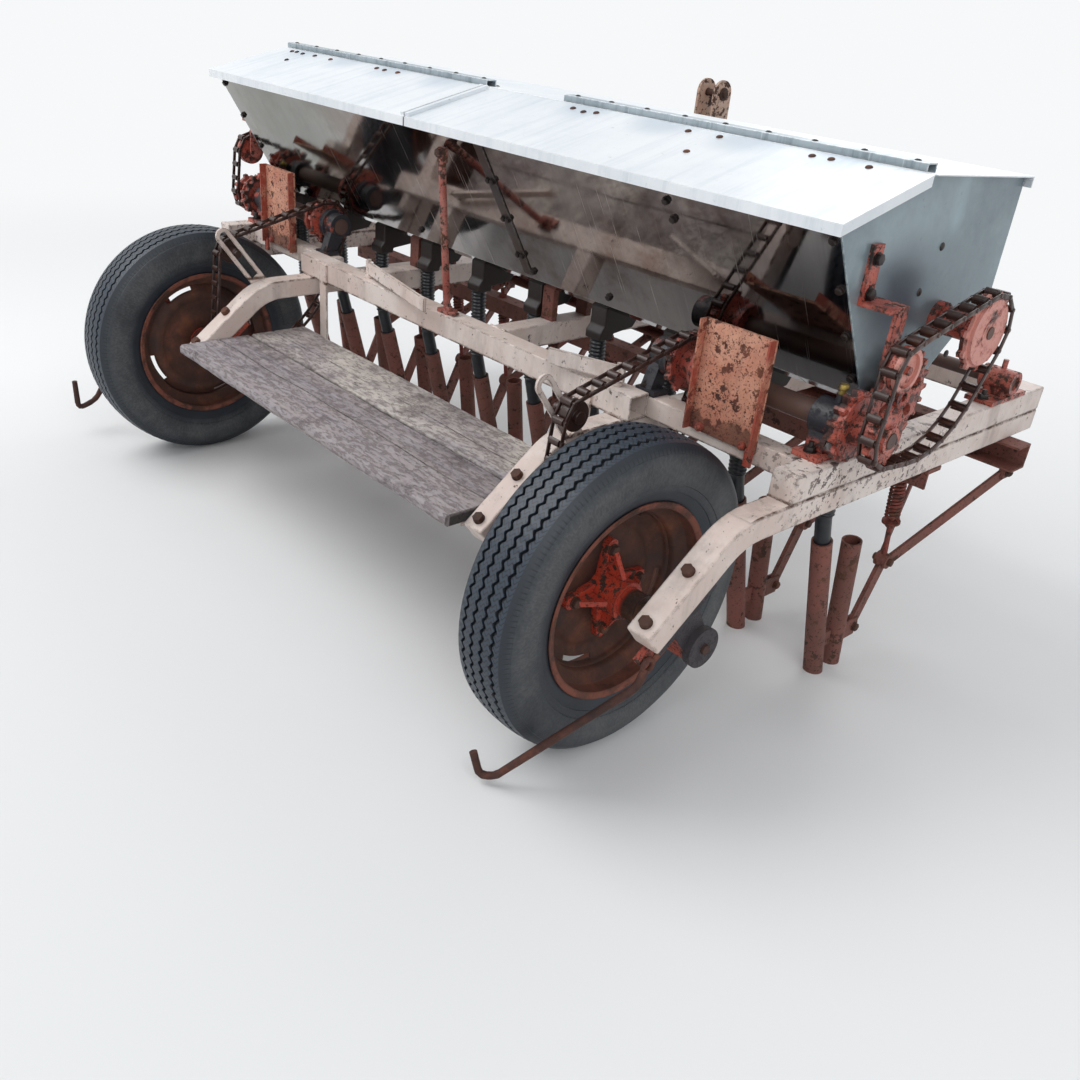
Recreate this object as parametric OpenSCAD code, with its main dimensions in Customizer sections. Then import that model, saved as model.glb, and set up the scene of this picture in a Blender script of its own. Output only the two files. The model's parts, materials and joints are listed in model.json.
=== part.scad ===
/* [Wheels] */
// Outer radius of a tyre
tyre_r = 331; // [310:1:345]
// Width of a tyre at its widest
tyre_w = 148; // [130:1:160]
// Radius of the rim's lip
rim_r = 208; // [196:1:216]
// Width of the rim over its lips
rim_w = 124; // [110:1:132]
// Distance from the machine's middle to a wheel's middle plane
wheel_x = 877; // [860:1:890]
// Diameter of an axle stub
axle_d = 36; // [30:1:42]
// Reach of a spider arm from the axle's centre
spider_r = 112; // [90:1:125]

/* [Frame] */
// Outer size of the square upper tubes
tube = 56; // [50:1:62]
// Wall of the open-ended tubes
tube_wall = 5; // [3:0.5:8]
// Height at which the upper tubes lie on the lower tubes
deck_z = 558; // [545:1:575]
// Height of the lower tubes and the bent arms
arm_h = 50; // [40:1:56]
// Outer face of the side rails, from the middle
rail_x = 1109; // [1095:1:1125]
// Front end of the side rails, ahead of the axle
rail_front = 1190; // [1170:1:1230]
// Rear end of the side rails, ahead of the axle
rail_rear = 202; // [190:1:215]
// Rear face of the rear beam, ahead of the axle
beam_y = 231; // [225:1:240]
// Half length of the rear beam
beam_half = 667; // [660:1:680]
// Inner face of the inner arms, from the middle
inner_x = 597; // [590:1:600]
// Slope of the bent arms behind the frame
arm_slope = 38; // [34:1:42]
// How far the top of an arm's end lies below the lower tubes' top
arm_drop = 165; // [150:1:175]
// Rear end of the arms' top, behind the axle
arm_end = 144; // [130:1:150]
// Bend radius of an arm's top
arm_bend = 180; // [120:5:220]

/* [Toolbar and hitch] */
// Half length of the opener toolbar
bar_half = 1158; // [1140:1:1175]
// Rear edge of the toolbar, ahead of the axle
bar_y = 1030; // [1010:1:1045]
// Size of the toolbar's channel section
bar_size = 62; // [50:1:70]
// Spread of the two lower hitch pins, between their shoulders
hitch_spread = 683; // [660:1:720]
// Diameter of a lower hitch pin
hitch_pin_d = 22; // [20:0.5:28]
// Diameter of the top link hole
link_hole_d = 19.5; // [18:0.5:26]
// Height of the top link hole
link_z = 1122; // [1080:1:1130]

/* [Hopper] */
// Half length of the hopper box
box_half = 1078; // [1060:1:1085]
// Half length of the lids and the deck
lid_half = 1093; // [1088:1:1100]
// Place where the two lids meet
lid_split = -107; // [-300:1:300]
// Thickness of the hopper's sheets
sheet = 3; // [2:0.5:5]
// Rear edge of the lids, ahead of the axle
lid_rear_y = 187; // [180:1:195]
// Height of the lids' rear edge
lid_rear_z = 1053; // [1040:1:1060]
// Hinge line of the lids, ahead of the axle
ridge_y = 437; // [425:1:450]
// Height of the hinge line
ridge_z = 1118; // [1112:1:1125]
// Front wall of the hopper, ahead of the axle
front_y = 818; // [800:1:830]
// Height of the deck's front edge
front_z = 1100; // [1090:1:1108]
// Height of the hopper's floor
floor_z = 697; // [690:1:705]
// Place of the rear wall's seam strap
seam_x = 135; // [-400:1:400]

/* [Openers] */
// Distance from row to row
row_pitch = 230; // [220:1:231]
// Number of rows
rows = 10; // [4:2:10]
// Foot of a rear tube on the ground, ahead of the axle
rear_foot_y = 582; // [570:1:590]
// Foot of a front tube on the ground, ahead of the axle
front_foot_y = 650; // [640:1:660]
// Outer diameter of an opener's tube
boot_d = 45; // [44:0.5:50]
// Diameter of a seed hose
hose_d = 36; // [30:1:38]

/* [Drive] */
// Pitch of the detachable chain links
pitch = 41.4; // [40:0.1:42]
// Teeth on an axle sprocket
axle_teeth = 6; // [6:1:7]
// Teeth on a clutch sprocket
clutch_teeth = 9; // [8:1:9]
// Teeth on an end drive's lower sprocket
low_teeth = 8; // [7:1:8]
// Teeth on an end drive's upper sprocket
top_teeth = 11; // [10:1:12]
// Height of the cross shafts
shaft_z = 685; // [683:1:690]
// Cross shafts' centre, ahead of the axle
shaft_y = 345; // [340:1:348]
// Diameter of the cross shafts
shaft_d = 45; // [38:1:48]

/* [Board] */
// Height of the foot board's top
board_top = 420; // [400:1:440]
// Thickness of the foot board
board_t = 27; // [20:1:35]
// Width of the foot board, front to rear
board_w = 388; // [350:1:400]
// Front edge of the foot board, ahead of the axle
board_front = 200; // [190:1:210]

/* [Hidden] */
$fn = 48;

// Colours of the finishes
cream = [0.80, 0.68, 0.60];
orange = [0.66, 0.20, 0.12];
rust = [0.40, 0.22, 0.15];
dark = [0.12, 0.10, 0.10];
steel = [0.56, 0.61, 0.58];
pale = [0.80, 0.84, 0.86];
rubber = [0.12, 0.13, 0.15];
wood = [0.52, 0.47, 0.46];

// Running gap at bores and seams
gap = 0.3;
// Reach and width of the lower hitch plates ahead of the rails
pin_reach = 48;
pin_plate_d = 48;
// The model's own origin lies under the middle of its box
mid_y = (rail_front + pin_reach + pin_plate_d / 2 - tyre_r) / 2;

low_z = deck_z - arm_h;
up_z = deck_z + tube;
rail_in = rail_x - tube;
inner_out = inner_x + tube;
axle_z = tyre_r;

// Puts the children in the model's frame
module at() { translate([0, -mid_y, 0]) children(); }
// The children and their mirror image
module both() { children(); mirror([1, 0, 0]) children(); }
// Mirrors the children to the left if side is -1
module on_side(side) { if (side < 0) mirror([1, 0, 0]) children(); else children(); }
// Extrudes an outline drawn in Y and Z along X, from x0 over w
module along_x(x0, w) { translate([x0, 0, 0]) rotate([90, 0, 90]) linear_extrude(w) children(); }
// A round bar along X
module bar_x(x0, w, y, z, d) { translate([x0, y, z]) rotate([0, 90, 0]) cylinder(d = d, h = w); }
// A round bar along Y from p over w
module rod_y(p, w, d) { translate(p) rotate([-90, 0, 0]) cylinder(d = d, h = w); }
// A box from its two opposite corners
module box(a, b) { translate(a) cube(b - a); }
// Puts the children at a, their Z axis towards b
module towards(a, b) {
    v = b - a;
    translate(a) rotate([0, acos(v.z / norm(v)), atan2(v.y, v.x)]) children();
}
// A round bar between two points
module rod(a, b, d) { towards(a, b) cylinder(d = d, h = norm(b - a)); }
// A flat bar on edge between two points, w high and t thick
module flat(a, b, w, t) { towards(a, b) translate([-w / 2, -t / 2, 0]) cube([w, t, norm(b - a)]); }
function unit(v) = v / norm(v);
// Points along an arc
function arc(c, r, a0, a1, n) = [for (k = [0:n]) let (a = a0 + (a1 - a0) * k / n) c + r * [cos(a), sin(a)]];

// Frame

module rear_beam() {
    color(cream) at() difference() {
        box([-beam_half, beam_y, deck_z], [beam_half, beam_y + tube, up_z]);
        box([-beam_half - 1, beam_y + tube_wall, deck_z + tube_wall],
            [beam_half + 1, beam_y + tube - tube_wall, up_z - tube_wall]);
    }
}

module side_rail(side) {
    color(cream) at() on_side(side)
        box([rail_in, rail_rear, deck_z], [rail_x, rail_front, up_z]);
}

// Where the slope's top line meets the lower tubes' top
bend_y = -arm_end + arm_drop / tan(arm_slope);
bend_c = [bend_y + arm_bend * tan(arm_slope / 2), deck_z - arm_bend];
bend_steps = 6;
slope_dir = [cos(arm_slope), sin(arm_slope)];
// Corner at the end of an arm's underside
arm_foot = [-arm_end, deck_z - arm_drop] + arm_h * [slope_dir.y, -slope_dir.x];
module arm_outline() {
    polygon(concat([[rail_front, low_z], [rail_front, deck_z]],
        arc(bend_c, arm_bend, 90, 90 + arm_slope, bend_steps),
        [[-arm_end, deck_z - arm_drop], arm_foot],
        arc(bend_c, arm_bend - arm_h, 90 + arm_slope, 90, bend_steps)));
}

module side_arm(side) { color(cream) at() on_side(side) along_x(rail_in, tube) arm_outline(); }
module inner_arm(side) { color(cream) at() on_side(side) along_x(inner_x, tube) arm_outline(); }

// The short members beside the wheel wells lie ahead of the rear beam
cross_y = beam_y + tube + gap;
cross_t = 48;
cross_z = deck_z + cross_t;
module cross_members() {
    color(cream) at() both() box([inner_x, cross_y, deck_z], [rail_in, cross_y + cross_t, cross_z]);
}

mid_rail_x = [-403, 165];
module mid_rails() {
    color(cream) at() for (x = mid_rail_x)
        box([x - tube / 2, beam_y + tube, deck_z], [x + tube / 2, rail_front - tube, up_z]);
}

module front_beam() {
    color(cream) at() box([-rail_in, rail_front - tube, deck_z], [rail_in, rail_front, up_z]);
}

bar_wall = 6;
bar_z = low_z - bar_size;
module toolbar() {
    color(cream) at() along_x(-bar_half, 2 * bar_half) translate([bar_y, bar_z]) difference() {
        square(bar_size);
        translate([-1, bar_wall]) square([bar_size - bar_wall + 1, bar_size - 2 * bar_wall]);
    }
}

// Hitch

mast_w = 70;
mast_t = 10;
mast_gap = 46;
mast_y = rail_front + 10 - mast_w;
brace_top = link_z - 100;
brace_foot = 350;
module hitch_tower() {
    color(cream) at() {
        for (s = [-1, 1]) translate([s > 0 ? mast_gap / 2 : -mast_gap / 2 - mast_t, 0, 0])
            rotate([90, 0, 90]) linear_extrude(mast_t) difference() {
                union() {
                    translate([mast_y, up_z]) square([mast_w, link_z - up_z]);
                    translate([mast_y + mast_w / 2, link_z]) circle(d = mast_w);
                }
                translate([mast_y + mast_w / 2, link_z]) circle(d = link_hole_d);
            }
        box([-mast_gap / 2, mast_y, up_z], [mast_gap / 2, mast_y + mast_w, up_z + 12]);
        box([-mast_gap / 2, mast_y + 20, 860], [mast_gap / 2, mast_y + mast_w - 20, 890]);
        both() translate([0, mast_y + mast_w / 2 + 6, 0]) rotate([90, 0, 0]) linear_extrude(12)
            polygon([[mast_gap / 2 + mast_t, brace_top], [mast_gap / 2 + mast_t, brace_top - 60],
                [brace_foot - 48, up_z], [brace_foot, up_z]]);
    }
}

hitch_pin_y = rail_front + pin_reach;
hitch_pin_z = deck_z + tube / 2;
module lower_hitch() {
    color(rust) at() both() {
        along_x(hitch_spread / 2 - 12, 12) {
            translate([rail_front, deck_z - 6]) square([pin_reach, tube + 12]);
            translate([hitch_pin_y, hitch_pin_z]) circle(d = pin_plate_d);
        }
        bar_x(hitch_spread / 2, 70, hitch_pin_y, hitch_pin_z, hitch_pin_d);
        bar_x(hitch_spread / 2 - 24, 12, hitch_pin_y, hitch_pin_z, 38);
    }
}

// Hopper

// Height of the lids' upper face, and of the deck's, at a place y
function lid_top(y) = lid_rear_z + (y - lid_rear_y) * (ridge_z - lid_rear_z) / (ridge_y - lid_rear_y);
strip_y = ridge_y + 12;
function deck_top(y) = ridge_z + (y - strip_y) * (front_z - ridge_z) / (front_y - strip_y);
seat = sheet * 1.04 + gap;

rear_top = [lid_rear_y + 14, lid_top(lid_rear_y + 14) - seat];
rear_bot = [408, floor_z + 19];
floor_rear = [440, floor_z];
floor_front = [585, floor_z];
front_low = [front_y, floor_z + 183];
front_top = [front_y, deck_top(front_y) - seat];
ridge_end = [ridge_y, ridge_z - seat];

// Outer line of the box's section, from the rear wall's top round the floor to the front wall's top
skin = [rear_top, rear_bot, floor_rear, floor_front, front_low, front_top];
// Unit normal of a stretch of the skin, into the box
function skin_n(i) = let (v = skin[i + 1] - skin[i]) [-v.y, v.x] / norm(v);
// The rear wall's top edge is cut to the lids' slope
rear_cut = let (n = skin_n(0), v = unit(skin[1] - skin[0]), g = (ridge_z - lid_rear_z) / (ridge_y - lid_rear_y))
    sheet * (n.y - g * n.x) / (g * v.x - v.y);
// Inner corner of the skin at point i, mitred where two sheets meet
function skin_in(i) = i == 0 ? skin[0] + skin_n(0) * sheet + rear_cut * unit(skin[1] - skin[0])
    : i == 5 ? skin[5] + skin_n(4) * sheet
    : let (n = skin_n(i - 1) + skin_n(i)) skin[i] + n * (2 * sheet / (n * n));
module skin_strip(i) { polygon([skin[i], skin[i + 1], skin_in(i + 1), skin_in(i)]); }
module hopper_sheet(strips) {
    color(steel) at() along_x(-box_half + sheet, 2 * (box_half - sheet)) for (i = strips) skin_strip(i);
}

module hopper_rear_wall() { hopper_sheet([0]); }
module hopper_front_wall() { hopper_sheet([4, 3]); }
module hopper_floor() { hopper_sheet([1, 2]); }

module hopper_ends() {
    color(steel) at() difference() {
        both() along_x(box_half - sheet, sheet) polygon(concat(skin, [ridge_end]));
        bar_x(-box_half - 1, 2 * box_half + 2, gear_y, gear_z, feed_d + 2 * gap);
        bar_x(-box_half - 1, 2 * box_half + 2, top_y, top_z, top_d + 2 * gap);
    }
}

// A strip of sheet below the line from a to b
module strip_below(a, b, t) {
    n = [b.y - a.y, a.x - b.x] / norm(b - a);
    m = a.x < b.x ? n : -n;
    polygon([a, b, b + m * t, a + m * t]);
}

deck_lip = 22;
deck_y = front_y + 2 * sheet;
module top_deck() {
    color(pale) at() along_x(-lid_half, 2 * lid_half) polygon([[strip_y, ridge_z],
        [strip_y, ridge_z - sheet], [deck_y - sheet, deck_top(deck_y) - sheet],
        [deck_y - sheet, front_z - deck_lip], [deck_y, front_z - deck_lip], [deck_y, deck_top(deck_y)]]);
}

// Hat-shaped strips cover the hinge line: from x0 to x1
hinge_spans = [[-lid_half, lid_split - 23], [lid_split + 257, lid_half - 23]];
hat_w = 32;
hat_h = 14;
module hinge_strips() {
    color(steel) at() for (s = hinge_spans) along_x(s[0], s[1] - s[0]) polygon([
        [strip_y, deck_top(strip_y)], [strip_y, ridge_z + hat_h], [strip_y + hat_w, ridge_z + hat_h],
        [strip_y + hat_w, deck_top(strip_y + hat_w)],
        [strip_y + hat_w - sheet, deck_top(strip_y + hat_w - sheet)],
        [strip_y + hat_w - sheet, ridge_z + hat_h - sheet], [strip_y + sheet, ridge_z + hat_h - sheet],
        [strip_y + sheet, deck_top(strip_y + sheet)]]);
}

strap_w = 30;
module seam_strap() {
    v = rear_bot - rear_top;
    n = skin_n(0) * sheet;
    color(steel) at() along_x(seam_x - strap_w / 2, strap_w)
        polygon([rear_top + v * 0.03, rear_top + v * 0.03 - n, rear_top + v * 0.97 - n, rear_top + v * 0.97]);
}

// Each lid is a shallow pan with a lip at its rear and at its outer end, and an upstand at the split
lip = 20;
upstand = 9;
module lid(side) {
    x0 = side < 0 ? -lid_half : lid_split + 3;
    x1 = side < 0 ? lid_split - 3 : lid_half;
    end_x0 = side < 0 ? -lid_half : lid_half - sheet;
    color(pale) at() {
        along_x(x0, x1 - x0) {
            strip_below([lid_rear_y, lid_rear_z], [ridge_y, ridge_z], sheet);
            translate([lid_rear_y, lid_rear_z - lip]) square([sheet, lip - 1]);
        }
        along_x(end_x0, sheet) polygon([[lid_rear_y, lid_rear_z - 1], [lid_rear_y, lid_rear_z - lip],
            [ridge_y - 1, ridge_z - lip], [ridge_y - 1, ridge_z - 2]]);
        along_x(side < 0 ? x1 - 12 : x0, 12) strip_below([lid_rear_y + 1, lid_top(lid_rear_y + 1) + upstand],
            [ridge_y - 14, lid_top(ridge_y - 14) + upstand], upstand + 1);
    }
}

leg_t = 18;
leg_rows = [444, 564];
module hopper_legs() {
    color(rust) at() for (y = leg_rows) {
        for (x = mid_rail_x) box([x - 20, y, up_z], [x + 20, y + leg_t, floor_z]);
        both() box([box_half - 12, y, up_z], [box_half, y + leg_t, floor_z]);
    }
}

stay_x = 0;
module stay_rod() {
    color(orange) at() {
        rod([stay_x, beam_y + 26, up_z + 6], [stay_x, rear_top.x + 20, lid_rear_z - 68], 18);
        box([stay_x - 14, beam_y + 6, up_z], [stay_x + 26, beam_y + 40, up_z + 10]);
    }
}

// Openers

function row_x(i) = (i - (rows - 1) / 2) * row_pitch;
module each_row() { for (i = [0:rows - 1]) translate([row_x(i), 0, 0]) children(); }

cup_w = 52;
cup_out_y = 452;
cup_z = floor_z - 79;
module feed_cups() {
    color(dark) at() each_row() along_x(-cup_w / 2, cup_w) polygon([
        [442, floor_z], [442, floor_z - 45], [cup_out_y - 22, floor_z - 60], [cup_out_y - 22, cup_z],
        [cup_out_y + 22, cup_z], [cup_out_y + 24, floor_z - 66], [540, floor_z - 58], [562, floor_z - 30],
        [562, floor_z]]);
}

feed_d = 16;
top_d = 24;
shaft_end = 1192;
module feed_shaft() { color(rust) at() bar_x(-rail_x, 2 * rail_x, gear_y, gear_z, feed_d); }
module top_shaft() { color(rust) at() bar_x(-shaft_end, 2 * shaft_end, top_y, top_z, top_d); }

// A rear tube leans further back than a front tube: foot, height of the top and slope
rear_lean = 15.8;
front_lean = 7.6;
rear_boot_h = 374;
front_boot_h = 337;
function rear_axis(z) = rear_foot_y - z * tan(rear_lean);
function front_axis(z) = front_foot_y - z * tan(front_lean);

hose_sides = 10;
hose_seat = 25;
hose_path = [[cup_out_y, cup_z], [cup_out_y, cup_z - 60], [rear_axis(rear_boot_h + 58), rear_boot_h + 58],
    [rear_axis(rear_boot_h - hose_seat), rear_boot_h - hose_seat]];
// One ring of a pipe at corner k, in the plane that halves the bend there
function pipe_ring(path, k, d, sides) =
    let (n = len(path) - 1,
        t0 = unit(path[max(k, 1)] - path[max(k, 1) - 1]),
        t1 = unit(path[min(k, n - 1) + 1] - path[min(k, n - 1)]),
        t = unit(t0 + t1),
        m = [-t.y, t.x] / (t * t0))
    [for (j = [0:sides - 1]) let (a = 360 * (j + 0.5) / sides)
        [d / 2 * cos(a), path[k].x + m.x * d / 2 * sin(a), path[k].y + m.y * d / 2 * sin(a)]];
// A pipe in the plane of Y and Z with mitred bends
module pipe(path, d, sides) {
    n = len(path);
    pts = [for (k = [0:n - 1]) each pipe_ring(path, k, d, sides)];
    polyhedron(pts, concat(
        [[for (j = [0:sides - 1]) j]],
        [for (k = [0:n - 2], j = [0:sides - 1]) let (q = (j + 1) % sides)
            [k * sides + q, k * sides + j, (k + 1) * sides + j, (k + 1) * sides + q]],
        [[for (j = [0:sides - 1]) (n - 1) * sides + sides - 1 - j]]));
}
module seed_tubes() { color(dark) at() each_row() pipe(hose_path, hose_d, hose_sides); }

boot_bore = hose_d + 2 * gap;
drag_t = 10;
drag_foot = [706, 79];
module boot_tube(foot_y, top, lean, d) {
    translate([0, foot_y, 0]) rotate([lean, 0, 0]) translate([0, 0, -40])
        cylinder(d = d, h = top / cos(lean) + 40);
}
module boots() {
    color(rust) at() each_row() difference() {
        union() {
            boot_tube(rear_foot_y, rear_boot_h, rear_lean, boot_d);
            boot_tube(front_foot_y, front_boot_h, front_lean, boot_d);
            along_x(-4, 8) polygon([[rear_axis(60), 60], [front_axis(60), 60],
                [front_axis(100), 100], [rear_axis(100), 100]]);
            for (x = [-drag_t / 2 - gap - 4, drag_t / 2 + gap]) along_x(x, 4)
                polygon([[front_axis(56), 56], [drag_foot.x + 6, 56], [drag_foot.x + 16, 78],
                    [drag_foot.x + 10, 102], [front_axis(102), 102]]);
        }
        boot_tube(rear_foot_y, rear_boot_h + 5, rear_lean, boot_bore);
        boot_tube(front_foot_y, front_boot_h + 5, front_lean, boot_bore);
        box([-40, 520, -60], [40, 740, 0]);
    }
}

// Each row hangs by a fork from the toolbar: the fork's apex, and how far its legs spread
apex = [778, 235];
fork_spread = 98;
fork_top = [bar_y + 22, bar_z - 13];
module drag_bars() {
    v = unit(drag_foot - apex);
    n = [-v.y, v.x] * 16;
    color(rust) at() each_row() {
        both() flat([fork_spread, fork_top.x, fork_top.y], [10, apex.x, apex.y], 26, 7);
        both() box([fork_spread - 7, fork_top.x - 14, fork_top.y - 12],
            [fork_spread + 7, fork_top.x + 18, bar_z]);
        bar_x(-15, 30, apex.x, apex.y, 36);
        along_x(-drag_t / 2, drag_t)
            polygon([apex + n, apex - n, drag_foot + v * 12 - n, drag_foot + v * 12 + n]);
    }
}

// The press rods lean back to a bar under the arms
rod_d = 12;
rod_lean = 8;
press_z = low_z - 10;
press_y = apex.x - (low_z - 5 - apex.y) * tan(rod_lean);
module pressure_bar() {
    color(rust) at() difference() {
        along_x(-rail_x, 2 * rail_x) polygon([[press_y - 28, low_z], [press_y - 28, low_z - 45],
            [press_y - 22, low_z - 45], [press_y - 22, press_z], [press_y + 26, press_z],
            [press_y + 26, low_z]]);
        each_row() translate([0, press_y, low_z - 60]) cylinder(d = rod_d + 4, h = 80, $fn = 24);
    }
}

coils = 9;
coil_d = 36;
wire_d = 6;
washer_s = 104;
module press_springs() {
    top_s = (press_z - apex.y) / cos(rod_lean) - coil_d / 2 * tan(rod_lean) - 2 * gap;
    step = (top_s - washer_s - 5) / coils;
    color(rust) at() each_row() {
        translate([0, apex.x, apex.y]) rotate([rod_lean, 0, 0]) {
            translate([0, 0, 18 + gap]) cylinder(d = rod_d, h = low_z + 26 - apex.y, $fn = 24);
            translate([0, 0, washer_s]) cylinder(d = coil_d + 6, h = 5);
            translate([0, 0, washer_s + 5]) rotate_extrude() polygon(concat([[0, 0]],
                [for (k = [0:coils - 1]) each [[coil_d / 2 - wire_d / 2, k * step],
                    [coil_d / 2, (k + 0.5) * step]]],
                [[coil_d / 2 - wire_d / 2, coils * step], [0, coils * step]]));
        }
        translate([0, press_y - 1, low_z]) cylinder(d = 24, h = 10);
    }
}

// Guards and board

shield_x = [785, 955];
shield_z = [deck_z + 25, 810];
module shields() {
    color(orange) at() both() {
        box([shield_x[0], cross_y - 6, shield_z[0]], [shield_x[1], cross_y - 1, shield_z[1]]);
        for (x = [shield_x[0], shield_x[1] - 4])
            box([x, cross_y - 24, shield_z[0]], [x + 4, cross_y - 6, shield_z[1]]);
        for (x = [shield_x[0] + 30, shield_x[1] - 30]) rod_y([x, cross_y - 12, deck_z + 34], 12, 18);
    }
}

plank_gap = 1;
module foot_board() {
    mid = board_front - board_w * 0.46;
    color(wood) at() for (y = [[board_front - board_w, mid - plank_gap], [mid, board_front]])
        box([-inner_x + 3, y[0], board_top - board_t], [inner_x - 3, y[1], board_top]);
}

hanger_t = 6;
hanger_x = inner_x - 77;
hanger_w = 36;
module board_hangers() {
    under = board_top - board_t;
    color(cream) at() both() {
        box([hanger_x, beam_y - hanger_t, under - hanger_t], [hanger_x + hanger_w, beam_y, up_z - 4]);
        box([hanger_x, board_front - 190, under - hanger_t], [hanger_x + hanger_w, beam_y - hanger_t, under]);
        box([inner_x - 45, board_front - board_w + 40, under - hanger_t],
            [inner_x, board_front - board_w + 230, under]);
    }
}

// Drive

// Radius at which a chain runs round n teeth
function ring_r(n) = n * pitch / (2 * PI);

// A chain's course is a list of circles [y, z, radius], counter-clockwise as seen from the right.
// The chain leaves circle i at this angle and keeps it up to the next circle
function leave(c, i) = let (a = c[i % len(c)], b = c[(i + 1) % len(c)], d = [b.x - a.x, b.y - a.y])
    atan2(d.y, d.x) - 90 + asin((a.z - b.z) / norm(d));
function arrive(c, i) = leave(c, i + len(c) - 1);
function arc_len(c, i) = let (t = leave(c, i) - arrive(c, i)) c[i].z * (t - 360 * floor(t / 360)) * PI / 180;
function free_len(c, i) = let (a = c[i], b = c[(i + 1) % len(c)])
    sqrt((b.x - a.x) * (b.x - a.x) + (b.y - a.y) * (b.y - a.y) - (b.z - a.z) * (b.z - a.z));
function loop_len(c, i = 0) = i == len(c) ? 0 : arc_len(c, i) + free_len(c, i) + loop_len(c, i + 1);
// Place on the course, as [y, z, angle of the outward normal]
function loop_at(c, s, i = 0) =
    let (a = arc_len(c, i), f = free_len(c, i), q = c[i])
    s > a + f && i < len(c) - 1 ? loop_at(c, s - a - f, i + 1)
    : let (n = s < a ? arrive(c, i) + s / q.z * 180 / PI : leave(c, i), t = max(0, s - a))
    [q.x + q.z * cos(n) - t * sin(n), q.y + q.z * sin(n) + t * cos(n), n];
// The first strand hangs slack by h: a wide circle through both its ends
function slack(a, b, h) =
    let (t = leave([a, b], 0), n = [cos(t), sin(t)], p = [a.x, a.y] + a.z * n, q = [b.x, b.y] + b.z * n,
        half = norm(q - p) / 2, r = (half * half + h * h) / (2 * h), m = (p + q) / 2 - n * (r - h))
    [m.x, m.y, r];
function with_slack(c, h) = concat([c[0], slack(c[0], c[1], h)], [for (i = [1:len(c) - 1]) c[i]]);
// The slack at which the course holds n whole links
function find_slack(c, n, lo, hi, k) = let (m = (lo + hi) / 2) k == 0 ? m
    : loop_len(with_slack(c, m)) < n * pitch ? find_slack(c, n, m, hi, k - 1) : find_slack(c, n, lo, m, k - 1);
function links(c) = ceil(loop_len(with_slack(c, 3)) / pitch);
function course(c) = with_slack(c, find_slack(c, links(c), 3, 95, 24));
function joints(c) = let (q = course(c), n = links(c), step = loop_len(q) / n)
    [for (k = [0:n - 1]) loop_at(q, k * step)];
// Angle of the joint that lies nearest to circle p's outer side
function joint_on(c, p) = [for (j = joints(c)) if (abs(norm([j.x - p.x, j.y - p.y]) - p.z) < 0.2) j.z][1];

link_in = 10;
link_t = 5;
link_h = 10;
barrel = 8;
chain_w = 2 * (link_in + link_t);
module chain(x, c) {
    js = joints(c);
    for (s = [-link_in - link_t, link_in]) along_x(x + s, link_t) difference() {
        polygon([for (j = js) [j.x, j.y] + link_h / 2 * [cos(j.z), sin(j.z)]]);
        polygon([for (j = js) [j.x, j.y] - link_h / 2 * [cos(j.z), sin(j.z)]]);
    }
    for (j = js) translate([x, j.x, j.y]) rotate([j.z, 0, 0])
        translate([-link_in - link_t / 2, -barrel / 2, -barrel / 2]) cube([2 * link_in + link_t, barrel, barrel]);
}

// A toothed disc in the chain's plane x, its teeth between the joints
disc_w = 14;
module sprocket(x, n, c, p) {
    r = ring_r(n);
    first = joint_on(c, p);
    along_x(x - disc_w / 2, disc_w) translate([p.x, p.y]) {
        circle(r = r - barrel / 2 - gap);
        for (k = [0:n - 1]) rotate(first + 360 * (k + 0.5) / n)
            polygon([[r - 12, -9], [r + 4, -5], [r + 4, 5], [r - 12, 9]]);
    }
}

// Wheel chains run in this plane; the idler sits in its lever's slot
chain_x = 705;
idler = [28, 628];
idler_r = 36;
axle_ring = [0, axle_z, ring_r(axle_teeth)];
clutch_ring = [shaft_y, shaft_z, ring_r(clutch_teeth)];
wheel_loop = [axle_ring, clutch_ring, [idler.x, idler.y, idler_r]];

// End chains run in this plane, outside the gears
end_x = 1175;
top_y = 612;
top_z = floor_z + 149;
end_idler = [351, floor_z + 116];
end_idler_r = 45;
low_ring = [shaft_y, shaft_z, ring_r(low_teeth)];
top_ring = [top_y, top_z, ring_r(top_teeth)];
end_loop = [low_ring, top_ring, [end_idler.x, end_idler.y, end_idler_r]];

// A pinion on the cross shaft drives the gear on the feed shaft
pinion_teeth = 14;
gear_teeth = 20;
pinion_r = 62;
gear_r = pinion_r * gear_teeth / pinion_teeth;
gear_dir = 12.3;
gear_y = shaft_y + (pinion_r + gear_r) * cos(gear_dir);
gear_z = shaft_z + (pinion_r + gear_r) * sin(gear_dir);
module gear(n, r, first) {
    circle(r = r - 8);
    for (k = [0:n - 1]) rotate(first + 360 * k / n)
        polygon([[r - 10, -7.5], [r + 6, -3.5], [r + 6, 3.5], [r - 10, 7.5]]);
}

shaft_in = 628;
end_shaft_d = 30;
brg_x = rail_in - 18;
brg_w = 50;
module cross_shafts() {
    color(rust) at() both() {
        bar_x(shaft_in, brg_x + brg_w + 4 - shaft_in, shaft_y, shaft_z, shaft_d);
        bar_x(brg_x + brg_w, shaft_end - brg_x - brg_w, shaft_y, shaft_z, end_shaft_d);
    }
}

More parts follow.
